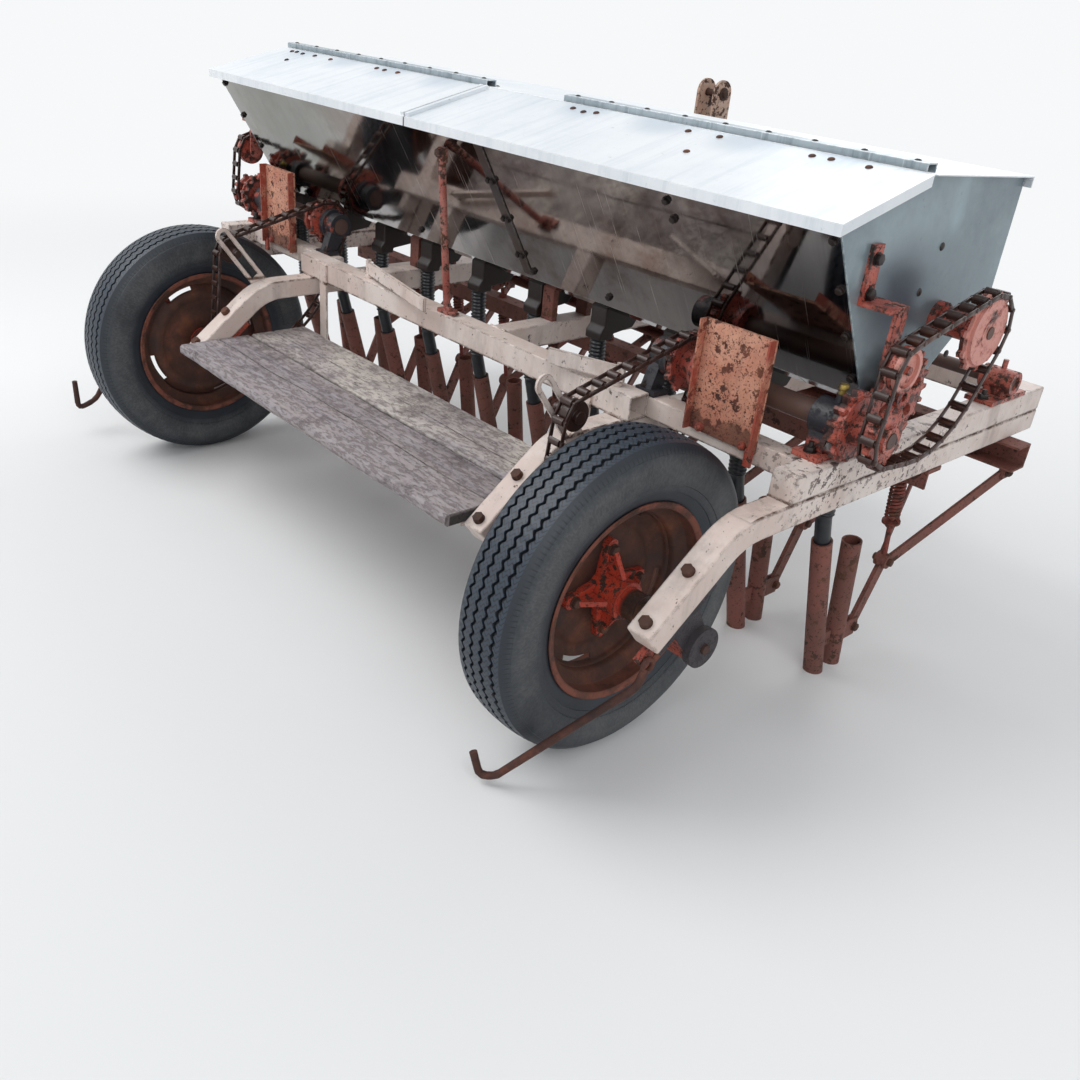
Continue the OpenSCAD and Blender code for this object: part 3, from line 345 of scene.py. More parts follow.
def piece(name, shape, body, material, stands_for=(), crease=38, copied=False):
    """Makes a bmesh a finished object that rides on a body, creased at sharp angles."""
    if not copied:
        bmesh.ops.recalc_face_normals(shape, faces=shape.faces)
    data = bpy.data.meshes.new(name)
    shape.to_mesh(data)
    shape.free()
    data.polygons.foreach_set("use_smooth", [True] * len(data.polygons))
    data.set_sharp_from_angle(angle=math.radians(crease))
    data.materials.append(material)
    made = bpy.data.objects.new(name, data)
    scene.collection.objects.link(made)
    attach(made, body)
    if stands_for:
        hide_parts(*stands_for)
    return made


def ease_edges(shape, edges, width, steps=2):
    """Rounds edges of a shape."""
    bmesh.ops.bevel(shape, geom=edges, offset=width, offset_type="OFFSET", segments=steps, profile=0.5,
                    affect="EDGES", clamp_overlap=True, material=-1)


def eased(node, width, material, steps=2, angle=32):
    """A copy of a CAD node with its edges rounded, as rolled, cast or worn metal has them."""
    shape = bmesh.new()
    shape.from_mesh(frame["nodes"][node].data)
    bmesh.ops.remove_doubles(shape, verts=shape.verts, dist=2e-5)
    bmesh.ops.dissolve_limit(shape, angle_limit=math.radians(1.5), verts=shape.verts, edges=shape.edges)
    sharp = [e for e in shape.edges if len(e.link_faces) == 2 and e.calc_face_angle() > math.radians(angle)]
    ease_edges(shape, sharp, width, steps)
    made = piece(node + "_eased", shape, body_of[node], material, (node,), copied=True)
    even = made.modifiers.new("even", "WEIGHTED_NORMAL")
    even.keep_sharp = True
    return made


tubes = ("rear_beam", "side_rail_l", "side_rail_r", "mid_rails", "front_beam", "cross_members",
         "side_arm_l", "side_arm_r", "inner_arm_l", "inner_arm_r")
for node in tubes:
    eased(node, 0.0045, cream_paint, steps=3, angle=25)


def sweep(shape, path, radius, sides=10):
    """A bar along a path: a circle extruded from point to point, its ends closed. radius may be a list."""
    radii = radius if hasattr(radius, "__len__") else [radius] * len(path)
    path = [Vector(p) for p in path]
    heads = [(path[min(k + 1, len(path) - 1)] - path[max(k - 1, 0)]).normalized() for k in range(len(path))]
    lie = Vector((0, 0, 1)).rotation_difference(heads[0])
    ring = bmesh.ops.create_circle(shape, segments=sides, radius=1, cap_ends=False)["verts"]
    first = {e for v in ring for e in v.link_edges}
    bmesh.ops.edgeloop_fill(shape, edges=list(first))
    now = Matrix.LocRotScale(path[0], lie, Vector((radii[0],) * 3))
    bmesh.ops.transform(shape, matrix=now, verts=ring)
    edges = list(first)
    for k in range(1, len(path)):
        lie = heads[k - 1].rotation_difference(heads[k]) @ lie
        then = Matrix.LocRotScale(path[k], lie, Vector((radii[k],) * 3))
        grown = bmesh.ops.extrude_edge_only(shape, edges=edges)["geom"]
        ring = [g for g in grown if isinstance(g, bmesh.types.BMVert)]
        edges = [g for g in grown if isinstance(g, bmesh.types.BMEdge)]
        bmesh.ops.transform(shape, matrix=then @ now.inverted(), verts=ring)
        now = then
    bmesh.ops.edgeloop_fill(shape, edges=edges)


def stand_on(at, axis):
    """The matrix that puts Z along axis at a point."""
    return Matrix.Translation(at) @ Vector((0, 0, 1)).rotation_difference(Vector(axis)).to_matrix().to_4x4()


def slab(shape, low, high, ease=0.001):
    """A box between two corners in the part source's millimetres, its edges eased."""
    low, high = spot(*low), spot(*high)
    size = Vector([abs(b - a) for a, b in zip(low, high)])
    made = bmesh.ops.create_cube(shape, size=1, matrix=Matrix.LocRotScale((low + high) / 2, None, size))
    edges = list({e for v in made["verts"] for e in v.link_edges})
    ease_edges(shape, edges, ease)


def drum(shape, at, axis, radius, depth, sides=24, taper=1.0, ease=0.0):
    """A short cylinder that starts at a point and runs along axis."""
    made = bmesh.ops.create_cone(shape, cap_ends=True, segments=sides, radius1=radius, radius2=radius * taper,
                                 depth=depth, matrix=stand_on(at, axis)
                                 @ Matrix.Translation((0, 0, depth / 2)))
    if ease:
        rims = [e for e in {e for v in made["verts"] for e in v.link_edges} if e.calc_face_angle(0) > 1.2]
        ease_edges(shape, rims, ease)


def bolt(shape, at, axis, across=0.019, stud=0.0, washer=0.68):
    """A hexagon head on a washer, with the end of its thread where stud is given."""
    axis = Vector(axis).normalized()
    drum(shape, at - axis * 0.001, axis, across * washer, 0.0030, sides=18)
    drum(shape, at + axis * 0.001, axis, across * 0.577, across * 0.50, sides=6, ease=across * 0.05)
    if stud:
        drum(shape, at, axis, across * 0.3, stud, sides=10, taper=0.9)


# Welds: the tubes lie on each other and are joined by hand-laid beads, painted over.
def bead(shape, a, b, size=0.0035):
    """A weld bead between two points, with the ripples of its passes."""
    a, b = spot(*a), spot(*b)
    count = max(3, int((b - a).length / 0.0045))
    path = [a.lerp(b, k / count) for k in range(count + 1)]
    sweep(shape, path, [size * (1.18 if k % 2 else 0.86) for k in range(count + 1)], sides=6)


TUBE, DECK, TOP = 56, 558, 614  # the tubes' side, and the heights of the lower and the upper tubes' tops
HALF = TUBE / 2
RAIL_X, ARM_X = 1109, 625  # the side rails' outer faces, and the middles of the inner arms
BEAM_REAR, BEAM_FORE = 231, 287  # the rear beam's two faces
welds = bmesh.new()
for side in (-1, 1):
    rail, inner = side * RAIL_X, side * (RAIL_X - TUBE)
    bead(welds, (rail, BEAM_FORE, DECK), (rail, 340, DECK))
    bead(welds, (inner, 204, DECK), (rail, 204, DECK))
    bead(welds, (side * (ARM_X + HALF), BEAM_REAR, DECK), (side * (ARM_X - HALF), BEAM_REAR, DECK))
    bead(welds, (side * (ARM_X + HALF), BEAM_FORE, DECK + 1), (side * (ARM_X + HALF), BEAM_FORE, TOP - 8))
    bead(welds, (inner, BEAM_FORE + 1, DECK + 1), (inner, BEAM_FORE + 1, TOP - 8))
    bead(welds, (inner, BEAM_FORE + 1, TOP - 8), (inner, 334, TOP - 8))
for x in (-403, 165):
    bead(welds, (x - HALF, BEAM_FORE, TOP), (x + HALF, BEAM_FORE, TOP))
    for edge in (x - HALF, x + HALF):
        bead(welds, (edge, BEAM_FORE, DECK + 2), (edge, BEAM_FORE, TOP - 2))
    bead(welds, (x - HALF, 1134, TOP), (x + HALF, 1134, TOP))
piece("frame_welds", welds, "root", cream_paint)

# Hitch: two mast plates with flat braces, and two side plates with pins for a tractor's lower links.
# They are flame-cut plate, welded and bolted to the front beam, with a round pin through the mast's top.


def bare_metal(name, bright, scale, tint, rough=0.8):
    """Iron that has lost its paint: a tinted rust all over."""
    made, tree, principled, here = finish_of(name)
    rust = place(tree, rust_coat, Vector=here, Scale=scale, Bright=bright)
    colour = blend(tree, 1.0, rust["Color"], tint, "MULTIPLY")
    surface(tree, principled, colour, rough, rust["Height"], depth=0.0015, strength=0.7)
    return made


rusty_steel = bare_metal("rusty_steel", 0.9, 16.0, (1.0, 0.9, 0.85))
mast_paint = paint_over_rust("mast_paint", (0.60, 0.46, 0.38), (0.48, 0.31, 0.23), chips=0.545, spots=0.575,
                             edges=1.1, scale=0.9, gloss=0.7, bright=0.9)
eased("hitch_tower", 0.0015, mast_paint)
eased("lower_hitch", 0.0015, rusty_steel)
MAST_X, MAST_Y, LINK_Z = 33, 1165, 1122  # the mast plates' outer faces, their middle, and their pin's height
hitch_bolts = bmesh.new()
for side in (-1, 1):
    for z in (572, 600):
        bolt(hitch_bolts, spot(side * 341.5, 1206, z), (side, 0, 0), 0.019)
    for z in (700, 1000):
        bolt(hitch_bolts, spot(side * MAST_X, MAST_Y, z), (side, 0, 0), 0.019)
    drum(hitch_bolts, spot(side * (MAST_X + 0.2), MAST_Y, LINK_Z), (side, 0, 0), 0.017, 0.004, sides=24,
         ease=0.0008)
drum(hitch_bolts, spot(-44, MAST_Y, LINK_Z), (1, 0, 0), 0.0092, 0.088, sides=20, ease=0.001)
piece("hitch_bolts", hitch_bolts, "root", rusty_steel)

# Openers: each row's fork of flat bars hangs from the channel toolbar and draws two welded seed tubes.
# A sprung rod under the frame presses it into the ground. All were painted red once and are now mostly rust.
red_rust = paint_over_rust("red_rust", (0.205, 0.068, 0.050), (0.150, 0.058, 0.043), chips=0.575, spots=0.585,
                           edges=0.7, scale=1.4, gloss=0.7, bright=1.0)
eased("toolbar", 0.002, red_rust)
eased("pressure_bar", 0.0015, red_rust)
eased("drag_bars", 0.0012, red_rust)
dress(red_rust, "boots")
ROWS, PITCH = 10, 230
row_x = [(k - (ROWS - 1) / 2) * PITCH for k in range(ROWS)]
BAR_Y, BAR_Z = 1030, 446
LEAN = math.radians(8)  # of the press rods, towards the rear as they rise
APEX_Y, APEX_Z = 778, 235  # where a fork's two bars meet and the press rod stands
fork_bolts = bmesh.new()
for x in row_x:
    for side in (-1, 1):
        bolt(fork_bolts, spot(x + side * 105.4, BAR_Y + 24, BAR_Z - 9), (side, 0, 0), 0.017, stud=0.012)
    drum(fork_bolts, spot(x - 24, APEX_Y, APEX_Z), (1, 0, 0), 0.009, 0.048, sides=14, ease=0.001)
    for side in (-1, 1):
        bolt(fork_bolts, spot(x + side * 9.4, 706, 79), (side, 0, 0), 0.017)
piece("fork_bolts", fork_bolts, "root", rusty_steel)


def on_rod(x, along, out=0.0, turn=0.0):
    """A point of a press rod, along it from the fork's apex, and out from its middle."""
    side, fore = out * math.cos(turn), out * math.sin(turn)
    return spot(x + side, APEX_Y - along * math.sin(LEAN) + fore * math.cos(LEAN),
                APEX_Z + along * math.cos(LEAN) + fore * math.sin(LEAN))


COILS, COIL_STEPS, COIL_R, WIRE_R, SPRING_FOOT, SPRING_TOP = 15, 14, 14.5, 3.6, 112, 262
up_rod = (0, -math.sin(LEAN), math.cos(LEAN))
springs = bmesh.new()
for x in row_x:
    sweep(springs, [on_rod(x, 17), on_rod(x, 305)], 0.0065, sides=12)
    drum(springs, on_rod(x, 104), up_rod, 0.021, 0.005, sides=20)
    drum(springs, on_rod(x, 92), up_rod, 0.011, 0.012, sides=6)
    turns = [k / COIL_STEPS for k in range(COILS * COIL_STEPS + 1)]
    rise = [SPRING_FOOT + (SPRING_TOP - SPRING_FOOT) * (0.03 + 0.94 * t / COILS) for t in turns]
    sweep(springs, [on_rod(x, s, COIL_R, 2 * math.pi * t) for s, t in zip(rise, turns)], WIRE_R / 1000,
          sides=6)
    drum(springs, spot(x, 739, 508), (0, 0, 1), 0.012, 0.012, sides=6)
spring_red = paint_over_rust("spring_red", (0.26, 0.045, 0.030), (0.17, 0.040, 0.028), chips=0.54, spots=0.56,
                             edges=0.6, scale=2.0, gloss=0.6, bright=0.8)
piece("rod_springs", springs, "root", spring_red, ("press_springs",))

# Seed hoses: black corrugated tube pushed over each cup's spout, and a smooth black tail that goes down into
# the rear seed tube. They are moulded rubber, a little dusty, and each bows its own way.
hose_rubber, tree, principled, here = finish_of("hose_rubber")
dust = place(tree, patches, Vector=here, Scale=18.0, Level=0.55, Softness=0.15, Seed=2.0)
surface(tree, principled, blend(tree, times(tree, dust["Mask"], 0.5), (0.006, 0.008, 0.012),
                                (0.030, 0.032, 0.034)), 0.34, dust["Noise"], depth=0.0005)
CUP_Y, CUP_Z = 452, 618  # the spout's middle and its lower edge
HOSE_R, RIB_R, RIB_STEP, RIBBED = 0.0172, 0.0205, 2.3, 176  # the ribs' quarter step and how far down they go


def rear_y(z):
    """Where a rear seed tube's axis stands at a height."""
    return 582 - z * math.tan(math.radians(15.8))


hoses = bmesh.new()
corners = [Vector((CUP_Y, CUP_Z + 1)), Vector((CUP_Y + 1, CUP_Z - 62)), Vector((rear_y(434), 434)),
           Vector((rear_y(350), 350))]
lengths = [(b - a).length for a, b in zip(corners, corners[1:])]
for number, x in enumerate(row_x):
    path, radii, along = [], [], 0.0
    while along < sum(lengths) - 1:
        rest = along
        k = 0
        while k < 2 and rest > lengths[k]:
            rest -= lengths[k]
            k += 1
        a, b = corners[k], corners[k + 1]
        at = a.lerp(b, min(1, rest / lengths[k]))
        pull = math.sin(math.pi * min(1, along / 190)) * 3 * math.sin(number * 2.1)
        path.append(spot(x + pull, at.x, at.y))
        ribbed = along < RIBBED
        radii.append(RIB_R if ribbed and len(path) % 4 in (1, 2) else HOSE_R)
        along += RIB_STEP if ribbed else 10
    path.append(spot(x, *corners[3]))
    radii.append(HOSE_R)
    sweep(hoses, path, radii, sides=20)
piece("seed_hoses", hoses, "root", hose_rubber, ("seed_tubes",), crease=70)

# Hopper: a long sheet trough, bent and bolted from galvanised steel, with a pale weathered lid in two leaves.
# The rear wall is worn to a dark mirror with long scratches, and the ends stay a dull blue grey.


def zinc(name, light, dark, metal, rough, streaks=0.6, stains=0.0, stain=(0.10, 0.05, 0.03), smears_and_painted_reflections=(),
         spread=0.18, waves=0.35):
    """Weathered galvanised sheet: cloudy patches, streaks, scratches, stains, and given spots of painted
    reflection and shade.
    """
    made, tree, principled, here = finish_of(name)
    broad = place(tree, patches, Vector=here, Scale=2.6, Level=0.5, Softness=0.16, Seed=4.0)
    drawn = shader(tree, "Mapping", {"Vector": here, "Scale": (1, 0.06, 0.06)}).outputs[0]
    streak = place(tree, patches, Vector=drawn, Scale=34.0, Level=0.56, Softness=0.10, Seed=1.0)
    fine = shader(tree, "Mapping", {"Vector": here, "Scale": (1, 0.025, 0.025)}).outputs[0]
    scratch = place(tree, patches, Vector=fine, Scale=190.0, Level=0.70, Softness=0.06, Seed=6.0, Detail=1.0)
    fleck = place(tree, patches, Vector=here, Scale=70.0, Level=0.66, Softness=0.05, Seed=9.0)
    cloudy, streaky = times(tree, broad["Mask"], 1 - streaks), times(tree, streak["Mask"], streaks)
    share = math_of(tree, "ADD", cloudy, streaky)
    colour = blend(tree, share, light, dark)
    colour = blend(tree, times(tree, scratch["Mask"], 0.35), colour, tuple(min(1, 2.2 * c) for c in light))
    colour = blend(tree, times(tree, fleck["Mask"], 0.5), colour, tuple(0.4 * c for c in dark))
    if stains:
        brown = place(tree, patches, Vector=here, Scale=3.4, Level=1 - stains, Softness=0.09, Seed=12.0)
        colour = blend(tree, times(tree, brown["Mask"], 0.6), colour, stain)
    # Each given spot fades a tint in round a place; on the rear wall and the lids these are painted
    # reflections and painted shade.
    for middle, reach, tint in smears_and_painted_reflections:
        ragged = times(tree, math_of(tree, "SUBTRACT", broad["Noise"], 0.5), 0.5 * reach)
        away = math_of(tree, "ADD", vector_of(tree, "DISTANCE", here, middle), ragged)
        soft = from_to(tree, away, reach, 0.2 * reach, smooth=True)
        colour = blend(tree, times(tree, soft, 0.75), colour, tint)
    edge = place(tree, worn_edges, Radius=0.004, Scale=60.0, Amount=0.6)
    colour = blend(tree, edge["Mask"], colour, tuple(min(0.85, 2.6 * c) for c in light))
    polish = shader(tree, "MapRange", {"Value": share, "To Min": rough, "To Max": rough + spread}).outputs[0]
    polish = math_of(tree, "ADD", polish, times(tree, scratch["Mask"], 0.28))
    dents = place(tree, patches, Vector=here, Scale=3.0, Detail=0.0)["Noise"]
    lift = math_of(tree, "ADD", times(tree, dents, 3.0), times(tree, streak["Noise"], 0.05))
    surface(tree, principled, colour, polish, lift, depth=0.002, strength=waves, metal=metal)
    return made


# The rear wall's two tinted spots are painted reflections: a greenish one towards its left end and a darker
# one towards its right end.
wall_zinc = zinc("wall_zinc", (0.440, 0.412, 0.395), (0.270, 0.258, 0.262), 1.0, 0.030, streaks=0.30,
                 stains=0.44, stain=(0.15, 0.095, 0.070), spread=0.09, waves=0.05,
                 smears_and_painted_reflections=[((-0.80, -0.19, 0.95), 0.50, (0.165, 0.175, 0.148)),
                        ((0.95, -0.15, 0.82), 0.34, (0.090, 0.092, 0.100))])
end_zinc = zinc("end_zinc", (0.280, 0.350, 0.375), (0.175, 0.220, 0.245), 0.40, 0.26, streaks=0.25,
                stains=0.44, stain=(0.10, 0.125, 0.155),
                smears_and_painted_reflections=[((side * 1.08, -0.02, 0.90), 0.15, (0.060, 0.070, 0.095)) for side in (-1, 1)])
RIDGE_SHADE_SPOTS = (-0.95, -0.72, -0.50, -0.27, 0.25, 0.48, 0.70, 0.92)  # where the lids get painted bluish shade, a reflection of the sky, along the ridge
lid_zinc = zinc("lid_zinc", (0.81, 0.84, 0.86), (0.62, 0.67, 0.71), 0.35, 0.28, streaks=0.4,
                smears_and_painted_reflections=[((x, -0.035, 1.118), 0.10, (0.52, 0.59, 0.66)) for x in RIDGE_SHADE_SPOTS])
strip_zinc = zinc("strip_zinc", (0.42, 0.49, 0.53), (0.22, 0.27, 0.30), 0.45, 0.30)
strap_zinc = zinc("strap_zinc", (0.105, 0.100, 0.098), (0.045, 0.043, 0.043), 0.60, 0.30, stains=0.45)
dress(wall_zinc, "hopper_rear_wall", "hopper_front_wall", "hopper_floor")
eased("seam_strap", 0.0008, strap_zinc)
eased("hopper_ends", 0.0008, end_zinc)
for node in ("lid_l", "lid_r", "top_deck"):
    eased(node, 0.0009, lid_zinc)
eased("hinge_strips", 0.0009, strip_zinc)
eased("hopper_legs", 0.0015, red_rust)

BACK_TOP, BACK_LOW = Vector((201, 1053.2)), Vector((408, 716))
back_run = BACK_LOW - BACK_TOP
back_out = Vector((back_run.y, -back_run.x)).normalized()


def on_back(x, share, out=0.0):
    """A point of the hopper's rear wall: across it, down it from its top, and out from it."""
    at = BACK_TOP + back_run * share + back_out * out
    return spot(x, at.x, at.y)


out_of_back = Vector((0, back_out.x, back_out.y))
dark_iron = bare_metal("dark_iron", 0.10, 24.0, (0.36, 0.35, 0.38), 0.46)
wall_bolts = bmesh.new()
for share in (0.30, 0.56, 0.82):
    for x in (127, 143):
        bolt(wall_bolts, on_back(x, share, 3), out_of_back, 0.012)
for x in (-1062, 1062):
    for share in (0.10, 0.36, 0.62, 0.88):
        bolt(wall_bolts, on_back(x, share, 0), out_of_back, 0.013)
for x, share in ((690, 0.12), (697, 0.22), (160, 0.93), (420, 0.92), (-300, 0.92), (-690, 0.92), (750, 0.93),
                 (-100, 0.05)):
    bolt(wall_bolts, on_back(x, share, 0), out_of_back, 0.013)
piece("wall_bolts", wall_bolts, "root", dark_iron)

# The hinge strips are held by round-headed bolts along the ridge, and more go through the lids beside them.
ridge_bolts = bmesh.new()


def round_head(shape, at, axis, radius):
    """A low domed bolt head."""
    bmesh.ops.create_uvsphere(shape, u_segments=14, v_segments=8, radius=radius,
                              matrix=stand_on(at, axis) @ Matrix.Diagonal((1, 1, 0.45, 1)))


STRIPS = ((-1093, -130), (150, 1070))  # from end to end
for start, end in STRIPS:
    for k in range(9):
        x = start + 30 + (end - start - 60) * k / 8
        round_head(ridge_bolts, spot(x, 465, 1132), (0, 0, 1), 0.0065)
        round_head(ridge_bolts, spot(x + 12, 500, 1115.4), (0, 0, 1), 0.006)
piece("ridge_bolts", ridge_bolts, "root", dark_iron)
RIDGE_Y, RIDGE_Z, EAVE_Y, EAVE_Z = 437, 1118, 187, 1053  # the lids' upper face at its two edges
LID_RISE = (RIDGE_Z - EAVE_Z) / (RIDGE_Y - EAVE_Y)
for side, places in (("l", ((-1010, 416), (-985, 418), (-945, 414), (-880, 416), (-790, 413), (-560, 416),
                            (-520, 414), (-460, 415), (-930, 352))),
                     ("r", ((222, 412), (264, 404), (296, 412), (560, 413), (640, 415), (860, 413),
                            (900, 415), (640, 322), (980, 413)))):
    heads = bmesh.new()
    for x, y in places:
        round_head(heads, spot(x, y, RIDGE_Z + 0.4 - (RIDGE_Y - y) * LID_RISE), (0, -LID_RISE, 1), 0.0072)
    piece("lid_bolts_" + side, heads, "cover_" + side, rusty_steel)

# Stay: a round rod with flattened, bolted ends, from the rear beam up to the hopper's rear wall.
# Its bright red paint has gone chalky, with rust in the pits.
orange_paint = paint_over_rust("orange_paint", (0.33, 0.078, 0.056), (0.42, 0.170, 0.135), chips=0.555,
                               spots=0.585, edges=1.0, scale=1.6, grease=0.42)
eased("stay_rod", 0.0008, orange_paint)
stay_ends = bmesh.new()
bolt(stay_ends, spot(17, 250, 624), (0, 0, 1), 0.016, stud=0.016)
slab(stay_ends, (6, 239, 617), (46, 261, 622.5), 0.002)
slab(stay_ends, (-12, 216, 968), (12, 232, 1002), 0.003)
bolt(stay_ends, spot(0, 216, 990), (0, -1, 0), 0.018)
piece("stay_ends", stay_ends, "root", orange_paint)

# Drive: sprockets on the axles turn the cross shafts by ladder chains. The shafts' outer ends drive the feed
# shaft by a pinion and gear, and the top shaft by a second chain. All are red castings, thick with grease, in
# blocks bolted to the frame and to the hopper's ends.
SHAFT_Y, SHAFT_Z = 345, 685  # the cross shafts' line
casting_red = dict(paint=(0.42, 0.066, 0.040), faded=(0.50, 0.150, 0.110), chips=0.562, spots=0.585,
                   edges=1.0, scale=2.0, gloss=0.42, grease=0.46)
castings = paint_over_rust("castings", **casting_red)
eased("end_brackets", 0.0010, castings)
eased("pillow_blocks", 0.0010, castings)
wheels_paint, tree, principled, here = finish_of("end_wheels_paint")
colour, rough, lift = old_paint(tree, here, **casting_red)
at = apart(tree, here)
chalk = place(tree, patches, Vector=here, Scale=20.0, Level=0.42, Softness=0.06, Seed=32.0)
high = from_to(tree, at["Z"], 0.775, 0.785)
far = math_of(tree, "ABSOLUTE", at["X"])
face = math_of(tree, "GREATER_THAN", far, 1.176)
colour = blend(tree, times(tree, high, chalk["Mask"], face, 0.85), colour, (0.66, 0.30, 0.245))
from_shaft = vector_of(tree, "SUBTRACT", here, (0, (SHAFT_Y - ORIGIN) / 1000, SHAFT_Z / 1000))
from_shaft = vector_of(tree, "MULTIPLY", from_shaft, (0, 1, 1))
from_shaft = vector_of(tree, "LENGTH", from_shaft)
rim = from_to(tree, from_shaft, 0.046, 0.052)
rim = times(tree, rim, from_to(tree, from_shaft, 0.074, 0.066))
pinion = times(tree, rim, math_of(tree, "LESS_THAN", far, 1.104))
teeth = times(tree, near_value(tree, far, 1.1745, 0.0085), math_of(tree, "SUBTRACT", 1.0, chalk["Mask"]))
oily = math_of(tree, "MAXIMUM", pinion, times(tree, teeth, 0.8))
surface(tree, principled, blend(tree, times(tree, oily, 0.9), colour, (0.030, 0.018, 0.016)), rough, lift,
        depth=0.0012, strength=0.6)
eased("end_sprockets", 0.0006, wheels_paint)

# The shaft bearings' barrels and the clutches' inner drums are blue-black with old grease over their red.
greased, tree, principled, here = finish_of("greased_castings")
colour, rough, lift = old_paint(tree, here, **casting_red)
at = apart(tree, here)
barrel = from_to(tree, at["Z"], 0.640, 0.652)
inside = from_to(tree, math_of(tree, "ABSOLUTE", at["X"]), 0.690, 0.680)
outside = math_of(tree, "GREATER_THAN", math_of(tree, "ABSOLUTE", at["X"]), 0.9)
wear_and_highlight = place(tree, patches, Vector=here, Scale=22.0, Level=0.60, Softness=0.05, Seed=31.0)
dark = times(tree, math_of(tree, "MAXIMUM", times(tree, barrel, outside), inside),
             math_of(tree, "SUBTRACT", 1.0, wear_and_highlight["Mask"]))
surface(tree, principled, blend(tree, dark, colour, (0.024, 0.024, 0.030)), rough, lift, depth=0.0012,
        strength=0.6)
eased("clutch_units", 0.0010, greased)
eased("shaft_bearings", 0.0010, greased)
shaft_paint = paint_over_rust("shaft_paint", (0.115, 0.060, 0.045), (0.085, 0.050, 0.042), chips=0.66,
                              spots=0.66, edges=0.5, scale=1.2, gloss=0.6)
dress(shaft_paint, "cross_shafts", "top_shaft", "lift_shaft")
greasy_iron = bare_metal("greasy_iron", 0.34, 26.0, (0.80, 0.60, 0.58), 0.36)
eased("axle_sprockets", 0.0006, greasy_iron)
eased("chain_idlers", 0.0015, greasy_iron)
dress(greasy_iron, "feed_shaft")
eased("feed_cups", 0.004, dark_iron)

PITCH_OF_LINK = 41.4  # in millimetres


def leave(a, b):
    """The angle at which a chain leaves circle a (y, z, radius) for circle b."""
    d = math.hypot(b[0] - a[0], b[1] - a[1])
    return math.atan2(b[1] - a[1], b[0] - a[0]) - math.pi / 2 + math.asin((a[2] - b[2]) / d)


def stretches(course):
    """For each circle of a course: the arrival angle, the arc's length and the free run after it."""
    found = []
    for k, c in enumerate(course):
        after = course[(k + 1) % len(course)]
        start, end = leave(course[k - 1], c), leave(c, after)
        run = math.sqrt((after[0] - c[0]) ** 2 + (after[1] - c[1]) ** 2 - (after[2] - c[2]) ** 2)
        found.append((start, c[2] * ((end - start) % (2 * math.pi)), run, end))
    return found


def slack(course, sag):
    """The course with a wide circle that lets its first free run hang by sag."""
    a, b = course[:2]
    turn = leave(a, b)
    out = Vector((math.cos(turn), math.sin(turn)))
    p, q = Vector(a[:2]) + a[2] * out, Vector(b[:2]) + b[2] * out
    half = (q - p).length / 2
    radius = (half * half + sag * sag) / (2 * sag)
    middle = (p + q) / 2 - out * (radius - sag)
    return [a, (middle.x, middle.y, radius), *course[1:]]


def joints_of(course):
    """The chain's joints as (y, z, angle of the outward normal), a whole number of links apart."""
    def length(sag):
        """The chain's length when its first free run hangs by sag."""
        return sum(arc + run for _, arc, run, _ in stretches(slack(course, sag)))

    count = math.ceil(length(3) / PITCH_OF_LINK)
    low, high = 3, 95
    for _ in range(24):
        middle = (low + high) / 2
        low, high = (middle, high) if length(middle) < count * PITCH_OF_LINK else (low, middle)
    loop = slack(course, (low + high) / 2)
    parts = stretches(loop)
    step = sum(arc + run for _, arc, run, _ in parts) / count
    joints = []
    for k in range(count):
        along, j = k * step, 0
        while j < len(loop) - 1 and along > parts[j][1] + parts[j][2]:
            along -= parts[j][1] + parts[j][2]
            j += 1
        start, arc, run, end = parts[j]
        y, z, r = loop[j]
        turn = start + along / r if along < arc else end
        past = max(0, along - arc)
        joints.append((y + r * math.cos(turn) - past * math.sin(turn),
                       z + r * math.sin(turn) + past * math.cos(turn), turn))
    return joints


# One link of the ladder chain, cast in malleable iron: two side bars, a round end bar with proud ends, and a
# broad hook that takes the next link's end bar.
link = bmesh.new()
for side in (-1, 1):
    made = bmesh.ops.create_cube(link, size=1, matrix=Matrix.LocRotScale(
        Vector((side * 0.0168, 0.0207, 0)), None, Vector((0.0044, 0.0420, 0.0095))))
    ease_edges(link, list({e for v in made["verts"] for e in v.link_edges}), 0.0013, steps=1)
drum(link, Vector((-0.0200, 0, 0)), (1, 0, 0), 0.0047, 0.0400, sides=10, ease=0.001)
joint = Vector((0, PITCH_OF_LINK / 1000, 0))
lip = bmesh.ops.create_grid(link, x_segments=1, y_segments=1, size=0.5, matrix=Matrix.Translation(joint)
                            @ Matrix.Rotation(math.radians(150), 4, "X")
                            @ Matrix.LocRotScale(Vector((0, 0.0070, 0)), None,
                                                 Vector((0.0270, 0.0036, 1))))["verts"]
lip = lip + list({e for v in lip for e in v.link_edges}) + list({f for v in lip for f in v.link_faces})
bmesh.ops.spin(link, geom=lip, cent=joint, axis=(1, 0, 0), dvec=(0, 0, 0), angle=math.radians(-215), steps=7,
               use_merge=False)
bmesh.ops.recalc_face_normals(link, faces=link.faces)
link_mesh = bpy.data.meshes.new("link")
link.to_mesh(link_mesh)
link.free()


